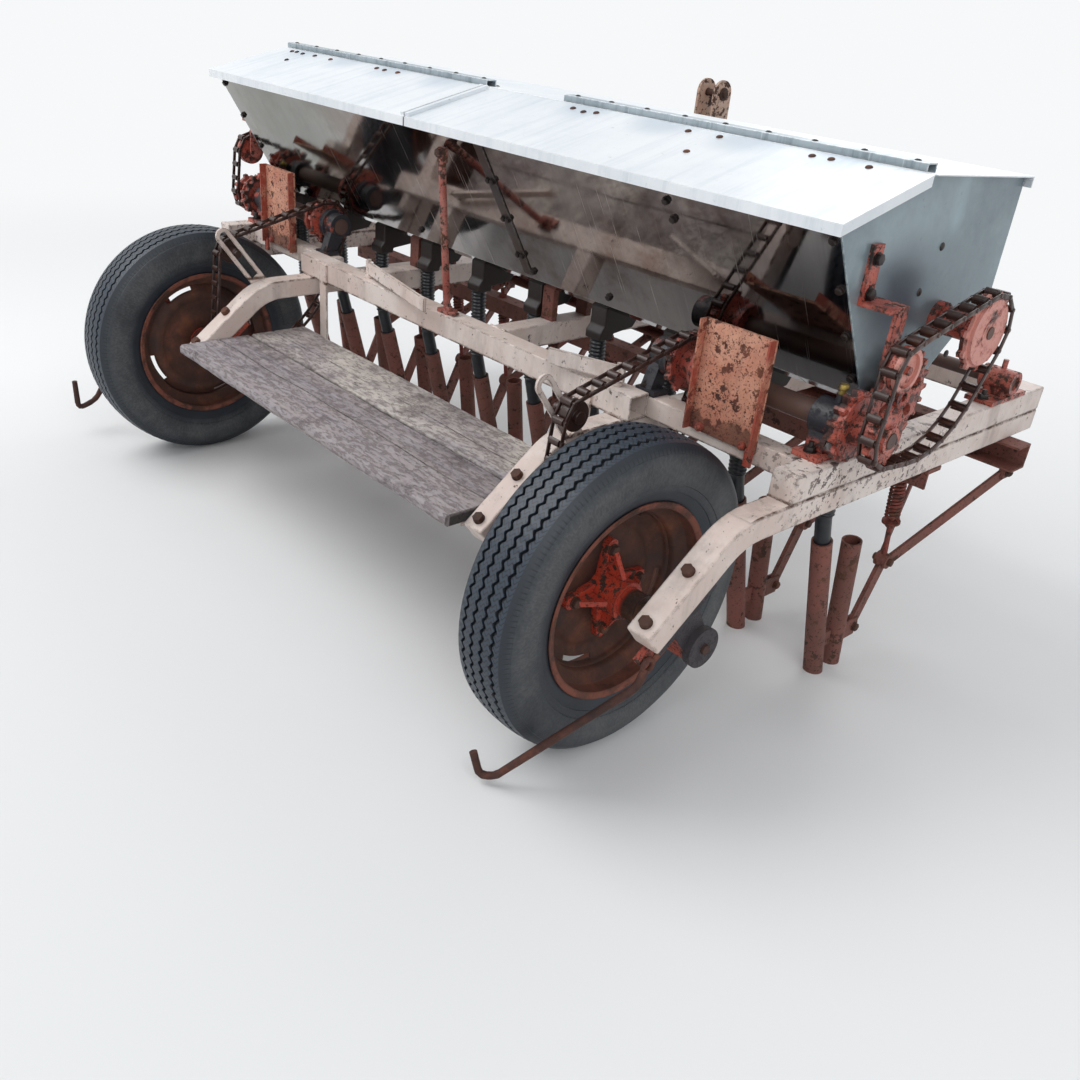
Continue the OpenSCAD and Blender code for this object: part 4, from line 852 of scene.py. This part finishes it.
def ladder_chain(name, x, course, body="root"):
    """A chain of links round a course, and its mirror image on the other side."""
    chain = bmesh.new()
    joints = joints_of(course)
    for a, b in zip(joints, joints[1:] + joints[:1]):
        a, b = spot(x, a[0], a[1]), spot(x, b[0], b[1])
        run = b - a
        dy, dz = run.y / run.length, run.z / run.length
        lie = Matrix(((-1, 0, 0), (0, dy, dz), (0, dz, -dy)))
        count = len(chain.verts)
        chain.from_mesh(link_mesh)
        chain.verts.ensure_lookup_table()
        bmesh.ops.transform(chain, verts=chain.verts[count:], matrix=Matrix.LocRotScale(
            a, lie, Vector((1, run.length * 1000 / PITCH_OF_LINK, 1))))
    mirror = bmesh.ops.duplicate(chain, geom=chain.verts[:] + chain.edges[:] + chain.faces[:])["geom"]
    bmesh.ops.scale(chain, vec=(-1, 1, 1), verts=[g for g in mirror if isinstance(g, bmesh.types.BMVert)])
    return piece(name + "_links", chain, body, greasy_iron, (name,), crease=50)


def ring_r(teeth):
    """The radius at which a chain runs round so many teeth."""
    return teeth * PITCH_OF_LINK / (2 * math.pi)


ladder_chain("wheel_chains", 705, [(0, 331, ring_r(6)), (SHAFT_Y, SHAFT_Z, ring_r(9)), (28, 628, 36)])
ladder_chain("end_chains", 1175, [(SHAFT_Y, SHAFT_Z, ring_r(8)), (612, 846, ring_r(11)), (351, 813, 45)])

# Nuts and studs of the bearings and blocks, dark with oil, and the shaft bearings' tarnished grease cups.
fittings, cups = bmesh.new(), bmesh.new()
for side in (-1, 1):
    for y in (302, 388):
        bolt(fittings, spot(side * 1060, y, 626), (0, 0, 1), 0.019, stud=0.020)
    for y in (930, 1070):
        bolt(fittings, spot(side * 1082, y, 624), (0, 0, 1), 0.019, stud=0.020)
    for y in (300, 326):
        bolt(fittings, spot(side * 640, y, 618), (0, 0, 1), 0.015, stud=0.014)
    for z in (985, 925):
        bolt(fittings, spot(side * 1086, 328, z), (side, 0, 0), 0.018)
    for y, z in ((560, 985), (700, 760), (520, 905)):
        round_head(fittings, spot(side * 1078, y, z), (side, 0, 0), 0.008)
    drum(cups, spot(side * 1073, SHAFT_Y, SHAFT_Z + 50), (0, 0, 1), 0.007, 0.014, sides=14)
    drum(cups, spot(side * 1073, SHAFT_Y, SHAFT_Z + 61), (0, 0, 1), 0.011, 0.009, sides=18, taper=0.8,
         ease=0.001)
piece("drive_fittings", fittings, "root", dark_iron)
brass, tree, principled, here = finish_of("old_brass")
tarnish = place(tree, patches, Vector=here, Scale=60.0, Level=0.5, Softness=0.1)
surface(tree, principled, blend(tree, tarnish["Mask"], (0.42, 0.30, 0.07), (0.07, 0.05, 0.03)), 0.45,
        metal=0.5)
piece("grease_cups", cups, "root", brass)

# Guards and levers: guards keep feet off the wheel chains, and levers throw the clutches and set the idlers.
# The guards are folded plates in chalky red paint, and the levers and board hangers are flat bar in cream.
guard_paint, tree, principled, here = finish_of("guard_paint")
colour, rough, lift = old_paint(tree, here, (0.68, 0.350, 0.235), (0.58, 0.240, 0.150), chips=0.555,
                                spots=0.572, edges=1.0, scale=1.7, gloss=0.6, bright=1.0)
at = apart(tree, here)
ragged = place(tree, patches, Vector=here, Scale=16.0, Level=0.5, Softness=0.1, Seed=41.0)
low = math_of(tree, "SUBTRACT", at["Z"], times(tree, ragged["Noise"], 0.16))
foot = from_to(tree, low, 0.545, 0.535)
rust = place(tree, rust_coat, Vector=here, Scale=30.0, Bright=1.0)
colour = blend(tree, times(tree, foot, 0.75), colour, rust["Color"])
flange = from_to(tree, at["Y"], -0.1840, -0.1850)
flange = times(tree, flange, math_of(tree, "SUBTRACT", 1.0, times(tree, ragged["Mask"], 0.7)))
colour = blend(tree, flange, colour, (0.35, 0.066, 0.040))
surface(tree, principled, colour, rough, lift, depth=0.0012, strength=0.7)
eased("shields", 0.0012, guard_paint)
guard_bits = bmesh.new()
for side in (-1, 1):
    for x in (815, 925):
        bolt(guard_bits, spot(side * x, 281, 592), (0, -1, 0), 0.013)
    slab(guard_bits, (side * 938, 272, 556), (side * 956, 279, 592), 0.001)
piece("guard_bits", guard_bits, "root", castings)
eased("clutch_levers", 0.0015, cream_paint)
eased("idler_levers", 0.0012, cream_paint)
eased("board_hangers", 0.0012, cream_paint)

# Foot board: two weathered planks laid along the machine on hangers.
# They are sawn softwood gone grey, split along the grain and worn at the edges.
plank, tree, principled, here = finish_of("grey_plank")
along = shader(tree, "Mapping", {"Vector": here, "Scale": (0.06, 1, 1)}).outputs[0]
grain = place(tree, patches, Vector=along, Scale=90.0, Level=0.5, Softness=0.2, Seed=1.0)
figure = place(tree, patches, Vector=along, Scale=16.0, Level=0.5, Softness=0.12, Seed=2.0)
weather = place(tree, patches, Vector=here, Scale=3.0, Level=0.52, Softness=0.10, Seed=3.0)
knots = place(tree, patches, Vector=here, Scale=9.0, Level=0.68, Softness=0.04, Seed=8.0)
colour = blend(tree, grain["Mask"], (0.38, 0.345, 0.365), (0.21, 0.180, 0.195))
colour = blend(tree, times(tree, figure["Mask"], 0.55), colour, (0.40, 0.345, 0.32))
at = apart(tree, here)
fore = from_to(tree, at["Y"], -0.446, -0.440)
short = shader(tree, "Mapping", {"Vector": here, "Scale": (0.35, 1, 1)}).outputs[0]
fibre = place(tree, patches, Vector=short, Scale=130.0, Level=0.53, Softness=0.04, Seed=5.0)
pale = times(tree, fore, weather["Mask"], 0.65)
colour = blend(tree, pale, colour, (0.68, 0.62, 0.54))
colour = blend(tree, times(tree, fibre["Mask"], 0.55), colour, (0.13, 0.098, 0.095))
stain = place(tree, patches, Vector=here, Scale=5.0, Level=0.60, Softness=0.05, Seed=6.0)
colour = blend(tree, times(tree, stain["Mask"], 0.6), colour, (0.085, 0.065, 0.070))
colour = blend(tree, knots["Mask"], colour, (0.045, 0.035, 0.035))
# Painted shade: faces below the planks' top, in the splits, in the gap between the planks and underneath, are
# darkened almost to black.
depth_here = from_to(tree, at["Z"], 0.4185, 0.4120)
off_middle = math_of(tree, "ABSOLUTE", math_of(tree, "SUBTRACT", at["Y"], -0.4515))
crack = times(tree, depth_here, math_of(tree, "LESS_THAN", off_middle, 0.19), 0.85)
colour = blend(tree, crack, colour, (0.020, 0.016, 0.016))
rise = math_of(tree, "SUBTRACT", grain["Noise"], times(tree, fibre["Mask"], 0.4))
surface(tree, principled, colour, 0.88, rise, depth=0.0025, strength=0.9)

BOARD_TOP, BOARD_T, BOARD_HALF = 420, 27, 594  # the planks' upper face, thickness and half length
PLANK_STEPS = 90


def old_plank(shape, rear, fore, split, seed):
    """A plank between two places, with eased edges, one split along it and a ragged outline."""
    section = [(rear + 5, -BOARD_T), (rear, -BOARD_T + 6), (rear, -6), (rear + 6, 0), (split - 3, 0),
               (split, -9), (split + 2, 0), (fore - 5, 0), (fore, -6), (fore, -BOARD_T + 6),
               (fore - 5, -BOARD_T)]
    row = [shape.verts.new(spot(-BOARD_HALF, y, BOARD_TOP + z)) for y, z in section]
    face = shape.faces.new(row)
    edges = list(face.edges)
    rings = [row]
    for _ in range(PLANK_STEPS):
        grown = bmesh.ops.extrude_edge_only(shape, edges=edges)["geom"]
        edges = [g for g in grown if isinstance(g, bmesh.types.BMEdge)]
        fresh = [g for g in grown if isinstance(g, bmesh.types.BMVert)]
        bmesh.ops.translate(shape, verts=fresh, vec=(2 * BOARD_HALF / PLANK_STEPS / 1000, 0, 0))
        rings.append(fresh)
    bmesh.ops.edgeloop_fill(shape, edges=edges)
    middle, crack = spot(0, (rear + fore) / 2, 0).y, spot(0, split, 0).y
    for ring in rings:
        for v in ring:
            wave = noise.noise(Vector((v.co.x * 5, v.co.y * 9 + seed, v.co.z * 30)))
            chip = noise.noise(Vector((v.co.x * 38, v.co.y * 4 + seed, v.co.z * 60)))
            ragged = wave * 0.0022 + min(0, chip) * 0.0028 * (1 if v.co.y > middle else -1)
            v.co.y += ragged if abs(v.co.y - crack) > 0.006 else wave * 0.006
            v.co.z += min(0, wave * 0.0016)


board = bmesh.new()
old_plank(board, -187, 21, -72, 3.0)
old_plank(board, 24, 199, 96, 8.0)
piece("board_planks", board, "root", plank, ("foot_board",), crease=50)

# Axle bearings: cast housings bolted under the arms' ends, the outer one closed by a round cap.
# They are bright red where the mud fell off, and black with grease at the cap.
castings_dark, tree, principled, here = finish_of("castings_dark")
colour, rough, lift = old_paint(tree, here, (0.46, 0.070, 0.036), (0.30, 0.055, 0.035), chips=0.54,
                                spots=0.55, edges=1.0, scale=2.0, gloss=0.6)
at = apart(tree, here)
cap = from_to(tree, math_of(tree, "ABSOLUTE", at["X"]), 1.103, 1.1055)
smears_and_painted_reflections = place(tree, patches, Vector=here, Scale=16.0, Level=0.62, Softness=0.05, Seed=33.0)
dark = math_of(tree, "MAXIMUM", cap, times(tree, smears_and_painted_reflections["Mask"], 0.8))
surface(tree, principled, blend(tree, dark, colour, (0.030, 0.024, 0.028)), rough, lift, depth=0.0012,
        strength=0.6)
eased("axle_bearings", 0.0015, castings_dark)
SLOPE = math.radians(38)
arm_bolts = bmesh.new()
arm_up = Vector((0, -math.sin(SLOPE), math.cos(SLOPE)))
for side in (-1, 1):
    for x in (1081, 625):
        for along in (25, 143):
            y, z = -144 + along * math.cos(SLOPE), 393 + along * math.sin(SLOPE)
            bolt(arm_bolts, spot(side * x, y, z), arm_up, 0.021, washer=0.585)
    drum(arm_bolts, spot(side * 1121, 0, 331), (side, 0, 0), 0.010, 0.006, sides=6)
piece("arm_bolts", arm_bolts, "root", rusty_steel)

# Hooks: bent rods that hang by an eye from the bearings' lugs and trail on the ground.
# They were bent cold by hand, so each has its own course, and they were never painted.
hook_rust = bare_metal("hook_rust", 0.8, 30.0, (1.0, 0.75, 0.75))
hooks = bmesh.new()
HOOK_X, EYE_Y, EYE_Z, ROD_R = 1089, -120.7, 327.5, 0.0080
HOOKS = (  # from the eye to the tip, for each side
    [(HOOK_X + 8, EYE_Y - 6, EYE_Z - 4), (HOOK_X + 9, EYE_Y - 22, EYE_Z - 36), (1000, -208, 156),
     (905, -282, 22), (880, -300, 17), (862, -304, 64)],
    [(-HOOK_X - 6, EYE_Y - 6, EYE_Z - 4), (-1118, -248, 100), (-1120, -305, 78), (-1120, -306, 168)])
for knees in HOOKS:
    knees = [spot(*k) for k in knees]
    path = [knees[0]]
    for a, b, c in zip(knees, knees[1:], knees[2:]):
        reach = min(0.022, (b - a).length / 2.2, (c - b).length / 2.2)
        p, q = b + (a - b).normalized() * reach, b + (c - b).normalized() * reach
        path += [(p * (1 - t) ** 2 + b * 2 * t * (1 - t) + q * t * t) for t in (0, 0.25, 0.5, 0.75, 1)]
    path.append(knees[-1])
    sweep(hooks, path, [ROD_R * (1 + 0.05 * math.sin(k * 2.7)) for k in range(len(path))], sides=14)
for x in (HOOK_X + 7, -HOOK_X - 6):
    ring = bmesh.ops.create_circle(hooks, segments=10, radius=0.0052, matrix=Matrix.Translation(
        spot(x, EYE_Y, EYE_Z) + Vector((0, 0, 0.0125))) @ Matrix.Rotation(math.radians(90), 4, "X"))["verts"]
    ring = ring + list({e for v in ring for e in v.link_edges})
    bmesh.ops.spin(hooks, geom=ring, cent=spot(x, EYE_Y, EYE_Z), axis=(1, 0, 0), dvec=(0, 0, 0),
                   angle=2 * math.pi, steps=24, use_merge=True)
piece("bent_hooks", hooks, "root", hook_rust, ("hook_rods",))

# Tyres: worn car tyres with five wavy ribs, bleached and scuffed on their sides.
# Each is one profile spun round the axle, with the grooves between the ribs moved in waves.
rubber, tree, principled, here = finish_of("tyre_rubber")
AXLE_Y, AXLE_Z, WHEEL_X = -ORIGIN / 1000, 0.331, 0.877
WAVES = 92  # round the tread
CROWN, FALL = 0.3295, 1.9  # the tread's radius in its middle, and how fast it falls off to the sides
middle = vector_of(tree, "SUBTRACT", here, (0, AXLE_Y, AXLE_Z))
parts = apart(tree, middle)
off = math_of(tree, "SUBTRACT", math_of(tree, "ABSOLUTE", parts["X"]), WHEEL_X)
turn = math_of(tree, "ARCTAN2", parts["Z"], parts["Y"])
reach = math_of(tree, "SQRT", math_of(tree, "ADD", times(tree, parts["Y"], parts["Y"]),
                                      times(tree, parts["Z"], parts["Z"])))
round_it = shader(tree, "CombineXYZ", {0: times(tree, math_of(tree, "SINE", turn), 3.0),
                                       1: times(tree, math_of(tree, "COSINE", turn), 3.0),
                                       2: times(tree, reach, 6.0)}).outputs[0]
scuff = place(tree, patches, Vector=round_it, Scale=20.0, Level=0.51, Softness=0.10, Seed=5.0)
cloud = place(tree, patches, Vector=here, Scale=5.0, Level=0.5, Softness=0.12, Seed=2.0)
chalky = math_of(tree, "ADD", 0.35, times(tree, cloud["Mask"], 0.65))
bleached = times(tree, near_value(tree, reach, 0.272, 0.045), chalky)
scuffed = times(tree, scuff["Mask"], bleached, 0.60)
colour = blend(tree, cloud["Mask"], (0.008, 0.012, 0.019), (0.015, 0.021, 0.030))
colour = blend(tree, times(tree, bleached, 0.80), colour, (0.070, 0.074, 0.076))
colour = blend(tree, scuffed, colour, (0.110, 0.112, 0.112))
on_tread = times(tree, math_of(tree, "LESS_THAN", math_of(tree, "ABSOLUTE", off), 0.055),
                 math_of(tree, "GREATER_THAN", reach, 0.315))
depth_in = math_of(tree, "SUBTRACT", math_of(tree, "SUBTRACT", CROWN, times(tree, off, off, FALL)), reach)
floor_of = times(tree, on_tread, from_to(tree, depth_in, 0.0008, 0.0030))
# The tread gets a painted bluish highlight, a reflection of the sky.
colour = blend(tree, times(tree, on_tread, 0.75), colour, (0.030, 0.045, 0.066))
wave = math_of(tree, "ADD", times(tree, turn, 2.0 * WAVES),
               times(tree, math_of(tree, "SINE", times(tree, off, 2 * math.pi / 0.0130)), 2.1))
sipe = times(tree, math_of(tree, "GREATER_THAN", math_of(tree, "SINE", wave), 0.62), on_tread)
slit = times(tree, math_of(tree, "GREATER_THAN", math_of(tree, "SINE", times(tree, turn, 2.0 * WAVES)), 0.72),
             near_value(tree, reach, 0.3125, 0.0075))
cut = math_of(tree, "MAXIMUM", math_of(tree, "MAXIMUM", sipe, slit), floor_of)
# Painted shade: the grooves' floors, the sipes and the slits are darkened almost to black; the bump below
# presses them in.
colour = blend(tree, times(tree, cut, 0.88), colour, (0.006, 0.008, 0.011))
lift = math_of(tree, "SUBTRACT", times(tree, scuff["Noise"], 0.20), times(tree, cut, 0.8))
surface(tree, principled, colour, 0.46, lift, depth=0.0010, strength=0.6)

GROOVES, GROOVE_DEPTH = (-0.039, -0.013, 0.013, 0.039), 0.0066  # off the tread's middle


def crown(x):
    """The tread's radius across the tyre."""
    return CROWN - FALL * x * x


def left_tyre_of(material):
    """The left tyre: its profile from bead to bead, spun, its grooves moved in a worn zigzag."""
    tread = [(-0.0565, crown(0.0565))]
    for g in GROOVES:
        for dx, depth in ((-0.0038, 0), (-0.0022, GROOVE_DEPTH), (0.0022, GROOVE_DEPTH), (0.0038, 0)):
            tread.append((g + dx, crown(g + dx) - depth))
        tread.append((g + 0.0130, crown(g + 0.0130)))
    tread.append((0.0565, crown(0.0565)))
    flank = [(0.0600, 0.3190), (0.0645, 0.3150), (0.0680, 0.3090), (0.0684, 0.3074), (0.0696, 0.3068),
             (0.0715, 0.3020), (0.0735, 0.2900), (0.0740, 0.2780), (0.0737, 0.2660), (0.0728, 0.2520),
             (0.0722, 0.2476), (0.0704, 0.2468), (0.0700, 0.2400), (0.0682, 0.2330), (0.0676, 0.2318),
             (0.0660, 0.2312), (0.0630, 0.2220), (0.0600, 0.2130), (0.0575, 0.2085), (0.0555, 0.2020)]
    outline = [(-x, r) for x, r in reversed(flank)] + tread + flank
    shape = bmesh.new()
    row = [shape.verts.new((x - WHEEL_X, AXLE_Y, AXLE_Z + r)) for x, r in outline]
    edges = [shape.edges.new((a, b)) for a, b in zip(row, row[1:])]
    bmesh.ops.spin(shape, geom=row + edges, cent=(0, AXLE_Y, AXLE_Z), axis=(1, 0, 0), dvec=(0, 0, 0),
                   angle=2 * math.pi, steps=WAVES * 6, use_merge=True)
    bmesh.ops.remove_doubles(shape, verts=shape.verts, dist=1e-5)
    for v in shape.verts:
        x, y, z = v.co.x + WHEEL_X, v.co.y - AXLE_Y, v.co.z - AXLE_Z
        if abs(x) < 0.050 and math.hypot(y, z) > 0.31:
            turn = WAVES * math.atan2(z, y) + (0 if abs(x) < 0.026 else math.copysign(1.3, x))
            v.co.x += 0.0036 * (math.sin(turn) - math.sin(3 * turn) / 9)
    return piece("tyre_l_worn", shape, body_of["tyre_l"], material, ("tyre_l",), crease=40)


left_tyre = left_tyre_of(rubber)
shape = bmesh.new()
shape.from_mesh(left_tyre.data)
bmesh.ops.translate(shape, verts=shape.verts, vec=(2 * WHEEL_X, 0, 0))
piece("tyre_r_worn", shape, body_of["tyre_r"], rubber, ("tyre_r",), crease=40, copied=True)

# Rims: pressed steel, deep and brown with rust, bolted to cast spiders that turn with the axles.
# Each is two spun sheets: the channel that holds the tyre, and in it the stepped disc with four long slots.
rim_rust, tree, principled, here = finish_of("rim_rust")
rust = place(tree, rust_coat, Vector=here, Scale=11.0, Bright=1.0)
reach = vector_of(tree, "MULTIPLY", vector_of(tree, "SUBTRACT", here, (0, AXLE_Y, AXLE_Z)), (0, 1, 1))
reach = vector_of(tree, "LENGTH", reach)
colour = blend(tree, 1.0, rust["Color"], (0.95, 0.78, 0.74), "MULTIPLY")
# A painted highlight along the rim's outer lip, broken into patches.
lip = from_to(tree, reach, 0.192, 0.200)
wear_and_highlight = place(tree, patches, Vector=here, Scale=20.0, Level=0.48, Softness=0.08, Seed=52.0)
colour = blend(tree, times(tree, lip, wear_and_highlight["Mask"]), colour, (0.20, 0.062, 0.038))
mud = place(tree, patches, Vector=here, Scale=9.0, Level=0.56, Softness=0.06, Seed=53.0)
colour = blend(tree, times(tree, mud["Mask"], 0.55), colour, (0.030, 0.020, 0.018))
surface(tree, principled, colour, 0.75, rust["Height"], depth=0.0015, strength=0.7)

RIM_CHANNEL = [(0.2088, -0.0620), (0.2062, -0.0600), (0.2000, -0.0592), (0.1972, -0.0572), (0.1968, -0.0340),
               (0.1900, -0.0300), (0.1740, -0.0250), (0.1722, -0.0220), (0.1722, 0.0100), (0.1760, 0.0150),
               (0.1950, 0.0270), (0.1968, 0.0300), (0.1972, 0.0572), (0.2000, 0.0592), (0.2062, 0.0600),
               (0.2088, 0.0620)]
RIM_DISC = [(0.1705, 0.0020), (0.1700, -0.0080), (0.1670, -0.0140), (0.1560, -0.0190), (0.1510, -0.0230),
            (0.1450, -0.0270), (0.1340, -0.0275), (0.1270, -0.0240), (0.1200, -0.0208), (0.0900, -0.0204),
            (0.0405, -0.0204)]
SLOT_REACH, SLOT_TURN = (0.155, 0.1675), math.radians(15)
SLOT_START = {-1: math.radians(20), 1: math.radians(62)}  # how far each wheel has stopped turned
for side, node in ((-1, "wheel_rim_l"), (1, "wheel_rim_r")):
    shape = bmesh.new()
    for outline in (RIM_CHANNEL, RIM_DISC):
        row = [shape.verts.new((side * (WHEEL_X + x), AXLE_Y, AXLE_Z + r)) for r, x in outline]
        edges = [shape.edges.new((a, b)) for a, b in zip(row, row[1:])]
        bmesh.ops.spin(shape, geom=row + edges, cent=(0, AXLE_Y, AXLE_Z), axis=(1, 0, 0), dvec=(0, 0, 0),
                       angle=2 * math.pi, steps=120, use_merge=True)
    bmesh.ops.remove_doubles(shape, verts=shape.verts, dist=1e-5)
    slots = []
    for f in shape.faces:
        at = f.calc_center_median() - Vector((0, AXLE_Y, AXLE_Z))
        off = (math.atan2(at.z, at.y) + SLOT_START[side]) % (math.pi / 2) - math.pi / 4
        if SLOT_REACH[0] < math.hypot(at.y, at.z) < SLOT_REACH[1] and abs(off) < SLOT_TURN:
            slots.append(f)
    bmesh.ops.delete(shape, geom=slots, context="FACES")
    made = piece(node + "_pressed", shape, body_of[node], rim_rust, (node,), crease=45)
    wall = made.modifiers.new("sheet", "SOLIDIFY")
    wall.thickness, wall.offset = 0.0040, 0

# Spiders: cast arms on the hub, in flaking bright red, held to the rim's disc by four nuts.
# They turn with their axles, which are brown with rust on both sides of the hub but for a red collar.
hub_paint, tree, principled, here = finish_of("hub_paint")
colour, rough, lift = old_paint(tree, here, (0.55, 0.058, 0.026), (0.46, 0.048, 0.024), chips=0.535,
                                spots=0.575, edges=1.0, scale=2.2, gloss=0.45, bright=0.7)
far = math_of(tree, "ABSOLUTE", apart(tree, here)["X"])
rust = place(tree, rust_coat, Vector=here, Scale=30.0, Bright=0.8)
bare = from_to(tree, far, 0.934, 0.944)
bare = times(tree, bare, from_to(tree, far, 1.012, 1.004))
inner = from_to(tree, far, 0.852, 0.846)
surface(tree, principled, blend(tree, math_of(tree, "MAXIMUM", bare, inner), colour, rust["Color"]), rough,
        lift, depth=0.0015, strength=0.7)
eased("hub_l", 0.0015, hub_paint)
eased("hub_r", 0.0015, hub_paint)
NUT_X, NUT_RING = WHEEL_X - 0.0017, 0.088
for side, body in ((-1, "wheel_l"), (1, "wheel_r")):
    nuts = bmesh.new()
    for k in range(4):
        turn = math.radians(90 * k)
        at = Vector((side * NUT_X, AXLE_Y + NUT_RING * math.sin(turn), AXLE_Z + NUT_RING * math.cos(turn)))
        bolt(nuts, at, (side, 0, 0), 0.019)
    piece("spider_nuts_" + body[-1], nuts, body, rusty_steel)
